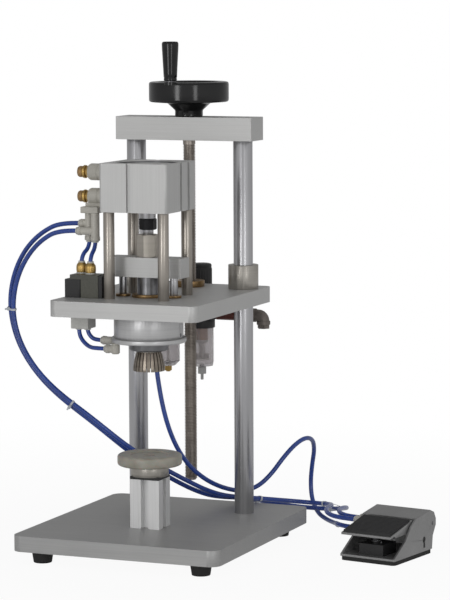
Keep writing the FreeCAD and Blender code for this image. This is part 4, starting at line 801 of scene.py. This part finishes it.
def armShape(radius, length):     # a moulded arm with a raised lip at its open end
    neck = radius - 0.5
    return turnedShape([(0, -1), (neck, -1), (neck, length - 5.2), (radius, length - 4.8),
                        (radius, length - 0.5), (neck, length), (0, length)], 40)


def makeFittings():
    grey = [placed(turnedShape(silencer["collar"], 56, closed=True), root, "-X") for root in silencer["roots"]]
    for (x, y, foot), level, reach in fittings["tees"]:
        grey.append(placed(turnedShape(fittings["trunk"], 40), (x, y, foot)))
        grey.append(placed(armShape(5.5, reach), (x, y, level), "-X"))
    makePiece("fittingBlock", [boxShape(*corners) for corners in fittings["block"]], "platform",
              "fittingGrey", sharp=30, edge=0.9)
    x, y, z = fittings["elbowNear"]
    grey.append(placed(armShape(5.5, 13), (x, y, z), "-X"))
    grey.append(placed(pinShape(5, 0, 7, 32), (x - 0.5, y, z), "X"))
    grey.append(placed(armShape(5.5, 13), fittings["elbowFar"], "-X"))
    grey.append(placed(turnedShape(fittings["swivel"], 40), fittings["elbowFar"]))
    grey.append(placed(armShape(6, 10), fittings["supply"], "-Z"))
    makePiece("pushInBodies", grey, "platform", "fittingGrey", ("push_in_fittings",), sharp=32)
    rings = [placed(ringShape(hole), at, axis) for at, axis, hole in fittings["rings"]]
    makePiece("releaseRings", rings, "platform", "releasePale", sharp=32)
    rings = [pedalTurned(placed(ringShape(hole), at, axis)) for at, axis, hole in fittings["pedalRings"]]
    makePiece("pedalReleaseRings", rings, "frame", "releasePale", sharp=32)


makeSilencers()
makeFittings()
print("fittings made")


airUnit = {
    "knobAt": (-9, 150, 322.2),
    "knob": [(0, -8), (4, -8), (4, 0), (12.6, 0), (13.4, 0.6), (13.6, 1.2), (14, 2.4), (14, 24.6),
             (13.6, 25.8), (13.2, 26.4), (13.2, 27.4), (13.5, 28), (13.2, 30.4), (12, 31.6), (10.4, 32),
             (9.6, 31.6), (0, 31.6)],
    "grip": {"flutes": 24, "fluteDepth": 0.75, "fluted": (6, 7)},
    # inside the filter's bowl
    "filterAt": (-9, 150, 0),
    "core": (8, 252, 292),
    "neck": [(0, 228), (3.2, 228), (4.6, 230), (4.6, 247), (8.6, 250.6), (8.6, 252.4), (0, 252.4)],
    "disc": [(0, 225.8), (9.6, 225.8), (10.5, 226.4), (10.5, 227.4), (9.6, 228.2), (0, 228.2)],
    "blades": 8,
    "blade": ((2.6, -0.4, 228), (9.8, 0.4, 234)),
    # inside the oiler's bowl
    "oilerAt": (-58, 150, 0),
    "riser": [(0, 221), (1.6, 221), (1.6, 272), (5.2, 274), (5.2, 279), (9.6, 281), (9.6, 285), (0, 285)],
    "strainer": [(0, 219.4), (3.4, 219.4), (3.8, 220.2), (3.4, 223), (0, 223.6)],
}


def makeAirUnit():
    knob = turnedShape(airUnit["knob"], 144, **airUnit["grip"])
    makePiece("regulatorGrip", [placed(knob, airUnit["knobAt"])], "knob", "matteBlack",
              ("regulator_knob",), sharp=34)
    at = airUnit["filterAt"]
    makePiece("filterCore", [placed(pinShape(*airUnit["core"], 48), at)], "platform", "sinterBrown",
              ("filter_element",), sharp=34)
    fins = [placed(turnedShape(airUnit[key], 40), at) for key in ("neck", "disc")]
    for k in range(airUnit["blades"]):
        turn = Matrix.Rotation(2 * math.pi * k / airUnit["blades"], 4, "Z")
        fins.append(moved(boxShape(*airUnit["blade"]), Matrix.Translation(at) @ turn))
    makePiece("filterBaffle", fins, "platform", "bowlInner", sharp=34)
    at = airUnit["oilerAt"]
    oil = [placed(turnedShape(airUnit["riser"], 32), at), placed(turnedShape(airUnit["strainer"], 28), at)]
    makePiece("oilRiser", oil, "platform", "bowlInner", sharp=34)


inlet = {
    "corner": (79, 150, 288),
    "nippleAt": (13, 150, 288),
    "nipple": [(0, 0), (8, 0), (8, 49), (7.4, 49.6), (7.4, 54), (0, 54)],
    "radius": 7.8,
    "bend": 7,      # radius of the bend's middle line
    "bendSteps": 6,
    "bead": [(6, 0), (8.6, 0), (9, 0.5), (9, 4.5), (8.6, 5), (6, 5)],
    "mouth": [(3.9, 9.4), (8.3, 9.4), (8.3, 16.6), (7.9, 17), (3.9, 17)],
}


def makeInlet():
    makePiece("inletNipple", [placed(turnedShape(inlet["nipple"], 48), inlet["nippleAt"], "X")],
              "platform", "brownPipe", ("inlet_elbow",), sharp=40)
    x, y, z = inlet["corner"]
    bend = inlet["bend"]
    line = [(x - 14, y, z), (x - 9, y, z)]
    for k in range(inlet["bendSteps"] + 1):
        angle = math.pi / 2 * k / inlet["bendSteps"]
        line.append((x - bend + bend * math.sin(angle), y, z - bend + bend * math.cos(angle)))
    line.append((x, y, z - 9))
    bead = turnedShape(inlet["bead"], 48, closed=True)
    parts = [tubeShape(line, inlet["radius"], 28), placed(bead, (x - 15.4, y, z), "X"),
             placed(bead, (x, y, z - 7), "-Z"),
             placed(turnedShape(inlet["mouth"], 6, closed=True), (x, y, z), "-Z")]
    makePiece("inletCorner", parts, "platform", "castIron", ("inlet_elbow",), sharp=36)


makeAirUnit()
makeInlet()


pedal = {
    "sides": (252.75, 319.25),      # left and right edge of the pad on the treadle
    "front": (11, 36.924),          # its front and back edge, y and z
    "back": (63, 47.952),
    "padThick": 2.5,
    "ribs": 14,
    "ribDepth": 0.7,
    "ribShares": ((0, -1), (0.06, 0), (0.70, 0), (0.76, -1)),      # share of a rib's pitch, height
    "firstRib": 0.12,
    "springAt": (286, 37),
    "springFoot": (0.27846, 0.03084, 0.022),
    "spring": {"radius": 6.6, "wire": 0.8, "low": 22.9, "high": 34.6, "turns": 3.5, "steps": 70},
    "flatEnd": 0.08,      # share of the spring's line that lies flat at each end
    "pressedTo": 0.335,
}


def makeTreadleGrip():
    (front, low), (back, high) = pedal["front"], pedal["back"]
    thick, depth, count = pedal["padThick"], pedal["ribDepth"], pedal["ribs"]
    outline = [(back, high), (front, low)]
    for k in range(count):
        for share, lift in pedal["ribShares"]:
            along = (k + share + pedal["firstRib"]) / count
            outline.append((front + (back - front) * along, low + (high - low) * along + thick + lift * depth))
    outline.append((back, high + thick - depth))
    pad = prismShape([(-z, y) for y, z in outline], *pedal["sides"])
    upright = Matrix(((0, 0, 1, 0), (0, 1, 0, 0), (-1, 0, 0, 0), (0, 0, 0, 1)))
    makePiece("treadleGrip", [pedalTurned(moved(pad, upright))], "treadle", "padRubber",
              ("treadle_pad",), sharp=30, edge=0.25)


def makePedalCoil():
    (x, y), flat = pedal["springAt"], pedal["flatEnd"]
    size = pedal["spring"]
    points = []
    for k in range(size["steps"] + 1):
        angle = 2 * math.pi * size["turns"] * k / size["steps"]
        share = min(max((k / size["steps"] - flat) / (1 - 2 * flat), 0), 1)
        points.append((x + size["radius"] * math.cos(angle), y + size["radius"] * math.sin(angle),
                       size["low"] + (size["high"] - size["low"]) * share))
    coil = makePiece("pedalCoil", [pedalTurned(tubeShape(points, size["wire"], 10))], "frame",
                     "screwSteel", ("pedal_spring",), sharp=60)
    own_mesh(coil)


makeTreadleGrip()
makePedalCoil()
print("air unit and pedal made")


ramNuts = {
    "lock": {"across": 19.44, "low": 415, "high": 429.4},
    "coupler": {"across": 24, "low": 380.5, "high": 409},
    "bore": 7.1,
    "sides": 72,
    "turn": math.radians(30),
    "drops": (0, 0.3, 0.6, 0.9, 1.2),      # rows of the chamfer, from the end face
    "chamfer": (0.2, 1.73),      # how far the end face stands back, and the cone's slope
    "stud": (5, 368, 394),
}


# a hexagon whose ends are turned to a cone, with a round bore
def nutShape(across, low, high):
    drops, sides = ramNuts["drops"], ramNuts["sides"]
    back, slope = ramNuts["chamfer"]
    rings = [(low, None)] + [(low + drop, drop) for drop in drops]
    rings += [(high - drop, drop) for drop in reversed(drops)] + [(high, None)]
    verts = []
    for level, drop in rings:
        for k in range(sides):
            angle = 2 * math.pi * k / sides
            radius = ramNuts["bore"]
            if drop is not None:
                off = (angle - ramNuts["turn"]) % (math.pi / 3) - math.pi / 6
                radius = min(across / 2 / math.cos(off), across / 2 - back + drop * slope)
            verts.append((radius * math.cos(angle), radius * math.sin(angle), level))
    return verts, gridFaces(len(rings), sides, closed=True)


def makeRamNuts():
    makePiece("lockNut", [placed(nutShape(**ramNuts["lock"]), ramAt)], "ram", "blackOxide",
              ("lock_nut",), sharp=24)
    coupler = [placed(nutShape(**ramNuts["coupler"]), ramAt), placed(pinShape(*ramNuts["stud"], 32), ramAt)]
    makePiece("rodCoupling", coupler, "ram", "couplerSteel", ("rod_coupler",), sharp=24)


# a thin black ring under the platform: a gasket, and also painted shade where the platform shades the head
sealAndPaintedShade = {
    "at": (0, -43, 308.5),
    "section": [(44, 0), (44.15, 0), (44.25, 0.2), (44.25, 1.4), (44, 1.5)],
}


def makeSealAndPaintedShade():      # dark gasket between the crimping head and the platform, partly painted shade: a black ring that also stands for the platform's shadow on the head's top
    makePiece("sealAndPaintedShade", [placed(turnedShape(sealAndPaintedShade["section"], 72, closed=True), sealAndPaintedShade["at"])],
              "platform", "footRubber", sharp=40)


retainer = {
    "at": (0, -43, 497), "outer": 39.9, "inner": 37.2, "thick": 1.5,
    "gap": 34,      # degrees
    "steps": 60,
    "lugs": {"circle": 35.4, "inward": 3, "section": [(1.2, 0), (3, 0), (3, 1.5), (1.2, 1.5)]},
}


def makeRetainer():      # open ring in the groove above the cylinder's end cap
    verts, faces = [], []
    inner, outer, thick = retainer["inner"], retainer["outer"], retainer["thick"]
    gap, steps = retainer["gap"], retainer["steps"]
    for k in range(steps + 1):
        angle = math.radians(-90 + gap / 2 + (360 - gap) * k / steps)
        for radius, height in ((inner, 0), (outer, 0), (outer, thick), (inner, thick)):
            verts.append((radius * math.cos(angle), radius * math.sin(angle), height))
    for k in range(0, 4 * steps, 4):
        for a, b in ((0, 1), (1, 2), (2, 3), (3, 0)):
            faces.append((k + a, k + 4 + a, k + 4 + b, k + b))
    faces.append((3, 2, 1, 0))
    faces.append(tuple(4 * steps + a for a in range(4)))
    shapes = [placed((verts, faces), retainer["at"])]
    lugs, (x, y, z) = retainer["lugs"], retainer["at"]
    for sign in (-1, 1):
        angle = math.radians(-90 + sign * (gap / 2 + lugs["inward"]))
        at = (x + lugs["circle"] * math.cos(angle), y + lugs["circle"] * math.sin(angle), z)
        shapes.append(placed(turnedShape(lugs["section"], 24, closed=True), at))
    makePiece("capRetainer", shapes, "platform", "screwSteel", sharp=34)


makeRamNuts()
makeSealAndPaintedShade()
makeRetainer()
print("ram, seal and retainer made")


# nodes that keep their own mesh, by finish, with the edge radius of each in millimetres
carried = {
    "baseMilledPaintedShade": {"base_plate": 0.9},
    "milledPlate": {"top_beam": 0.7, "platform_plate": 0.7, "crossbar": 0.7},
    "cylinderSkin": {"cylinder_body": 0.5, "cylinder_end_cap": 0.4},
    "castAluminium": {"pedal_housing": 0.7, "treadle_plate": 0.5},
    "extrusionBright": {"bottle_post": 0.3},
    "polishedBar": {"guide_columns": 0.5, "piston_rod": 0.3, "guide_rods": 0.3},
    "brushedSteel": {"cylinder_pillars": 0.3, "piston": 0},
    "collarSteel": {"plate_hub": 0.4, "column_bushes": 0.5},
    "turnedHead": {"head_cylinder": 0.4, "head_ring": 0.3},
    "screwSteel": {"frame_screws": 0, "handle_spindle": 0.2, "closing_sleeve": 0.4, "collet_pins": 0.2,
                   "pedal_hinge_pin": 0.4, "pedal_plunger": 0.3},
    "blackOxide": {"cylinder_screws": 0, "air_unit_bracket": 0.3},
    "bronzeBush": {"beam_bush": 0.3, "lead_nut": 0.4, "platform_bushes": 0.3, "rod_guide": 0.3},
    "footRubber": {"rubber_feet": 0.5, "pedal_base_pad": 0.4},
    "matteBlack": {"post_cap": 0.3, "valve_end_caps": 0.6, "air_unit_bodies": 0.8, "bowl_collars": 0.6,
                   "pedal_valve": 0.5},
    "valveGrey": {"valve_body": 0.4},
    "paleBlock": {"hose_manifold": 0.8},
    "fittingGrey": {"pedal_fittings": 0.4},
    "nylonDisc": {"bottle_plate": 0.8},
    "clearBowl": {"air_unit_bowls": 0},
    "drainGrey": {"bowl_drain": 0.3},
}


def dressNode(node, material, edge):
    if not node.data.materials:
        node.data.materials.append(material)
    for slot in node.material_slots:
        slot.material = material
    if edge:
        soften(node, edge)


for finishName, named in carried.items():
    for nodeName, edge in named.items():
        dressNode(nodes[nodeName], finishes[finishName], edge)
print("nodes dressed:", sum(len(named) for named in carried.values()))


studio = {
    "key": {"place": (-0.55, -2.95, 0.5), "size": (0.6, 1.4), "power": 13.5},
    "fill": {"place": (2.05, -2.2, 0.5), "size": (0.5, 1.4), "power": 7.5},
    "top": {"place": (0.2, 0.9, 2.6), "size": (1.6, 1.6), "power": 2.0},
    "aim": (0.05, 0.0, 0.3),
    "floor": (226, 226, 226),
    "floorReach": 6.0,
    "paper": {"near": 0.94, "far": 0.06, "from": 0.25, "slope": 1.2},      # how white the camera sees the floor
    "mirrored": 0.3,      # how white gloss sees it
    "sky": {"power": 0.84, "ahead": (0.5, -0.86, 0.0), "from": -0.35, "slope": 0.9, "bright": 0.34, "dim": 0.56,
            "riseSlope": 0.75, "overhead": 0.6},      # overhead is the share taken off at the top
}


def makeLamp(name, place, size, power):
    data = bpy.data.lights.new(name, "AREA")
    data.shape, data.size, data.size_y, data.energy = "RECTANGLE", size[0], size[1], power
    aim = Vector(studio["aim"]) - Vector(place)
    turn = aim.to_track_quat("-Z", "Y").to_matrix().to_4x4()
    addThing(name, data).matrix_world = Matrix.Translation(place) @ turn


def makeFloor():
    mesh = bpy.data.meshes.new("studioFloor")
    reach, paper = studio["floorReach"], studio["paper"]
    mesh.from_pydata([(-reach, -reach, 0), (reach, -reach, 0), (reach, reach, 0), (-reach, reach, 0)],
                     [], [(0, 1, 2, 3)])
    floor = addThing("studioFloor", mesh)
    material = bpy.data.materials.new("paleFloor")
    material.use_nodes = True
    shade = Shade(material.node_tree)
    matte = shade.node("ShaderNodeBsdfDiffuse", {}, {"Color": shown(*studio["floor"])})
    white = shade.node("ShaderNodeEmission", {}, {"Color": (1, 1, 1, 1), "Strength": 1.0})
    seen = shade.node("ShaderNodeLightPath", out="Is Camera Ray")
    mirrored = shade.node("ShaderNodeLightPath", out="Is Glossy Ray")
    away = shade.node("ShaderNodeVectorMath", {"operation": "LENGTH"},
                      {0: shade.node("ShaderNodeTexCoord", out="Object")}, out="Value")
    share = ((away - paper["from"]) * paper["slope"]).clamped() * paper["far"] + paper["near"]
    factor = seen * share + mirrored * studio["mirrored"]
    both = shade.node("ShaderNodeMixShader", {}, {0: factor, 1: matte, 2: white})
    shade.node("ShaderNodeOutputMaterial", {}, {"Surface": both})
    mesh.materials.append(material)


# a soft room: light ahead and to the left, dimmer behind and overhead, white where the camera looks past
def makeRoom():
    world = bpy.context.scene.world or bpy.data.worlds.new("room")
    bpy.context.scene.world = world
    world.use_nodes = True
    shade, sky = Shade(world.node_tree), studio["sky"]
    way = shade.node("ShaderNodeTexCoord", out="Generated")
    ahead = shade.node("ShaderNodeVectorMath", {"operation": "DOT_PRODUCT"},
                       {0: way, 1: sky["ahead"]}, out="Value")
    height = shade.node("ShaderNodeSeparateXYZ", {}, {0: way}, out="Z")
    glow = ((ahead - sky["from"]) * sky["slope"]).clamped() * sky["bright"] + sky["dim"]
    level = glow * (1.0 - (height * sky["riseSlope"]).clamped() * sky["overhead"])
    seen = shade.node("ShaderNodeLightPath", out="Is Camera Ray")
    level = seen + (1.0 - seen) * level * sky["power"]
    back = shade.node("ShaderNodeBackground", {}, {"Color": (1, 1, 1, 1), "Strength": level})
    shade.node("ShaderNodeOutputWorld", {}, {"Surface": back})


makeFloor()
makeRoom()
for lampName in ("key", "fill", "top"):
    makeLamp(lampName + "Lamp", **studio[lampName])
bpy.context.scene.view_settings.view_transform = "Standard"
print("studio lit")
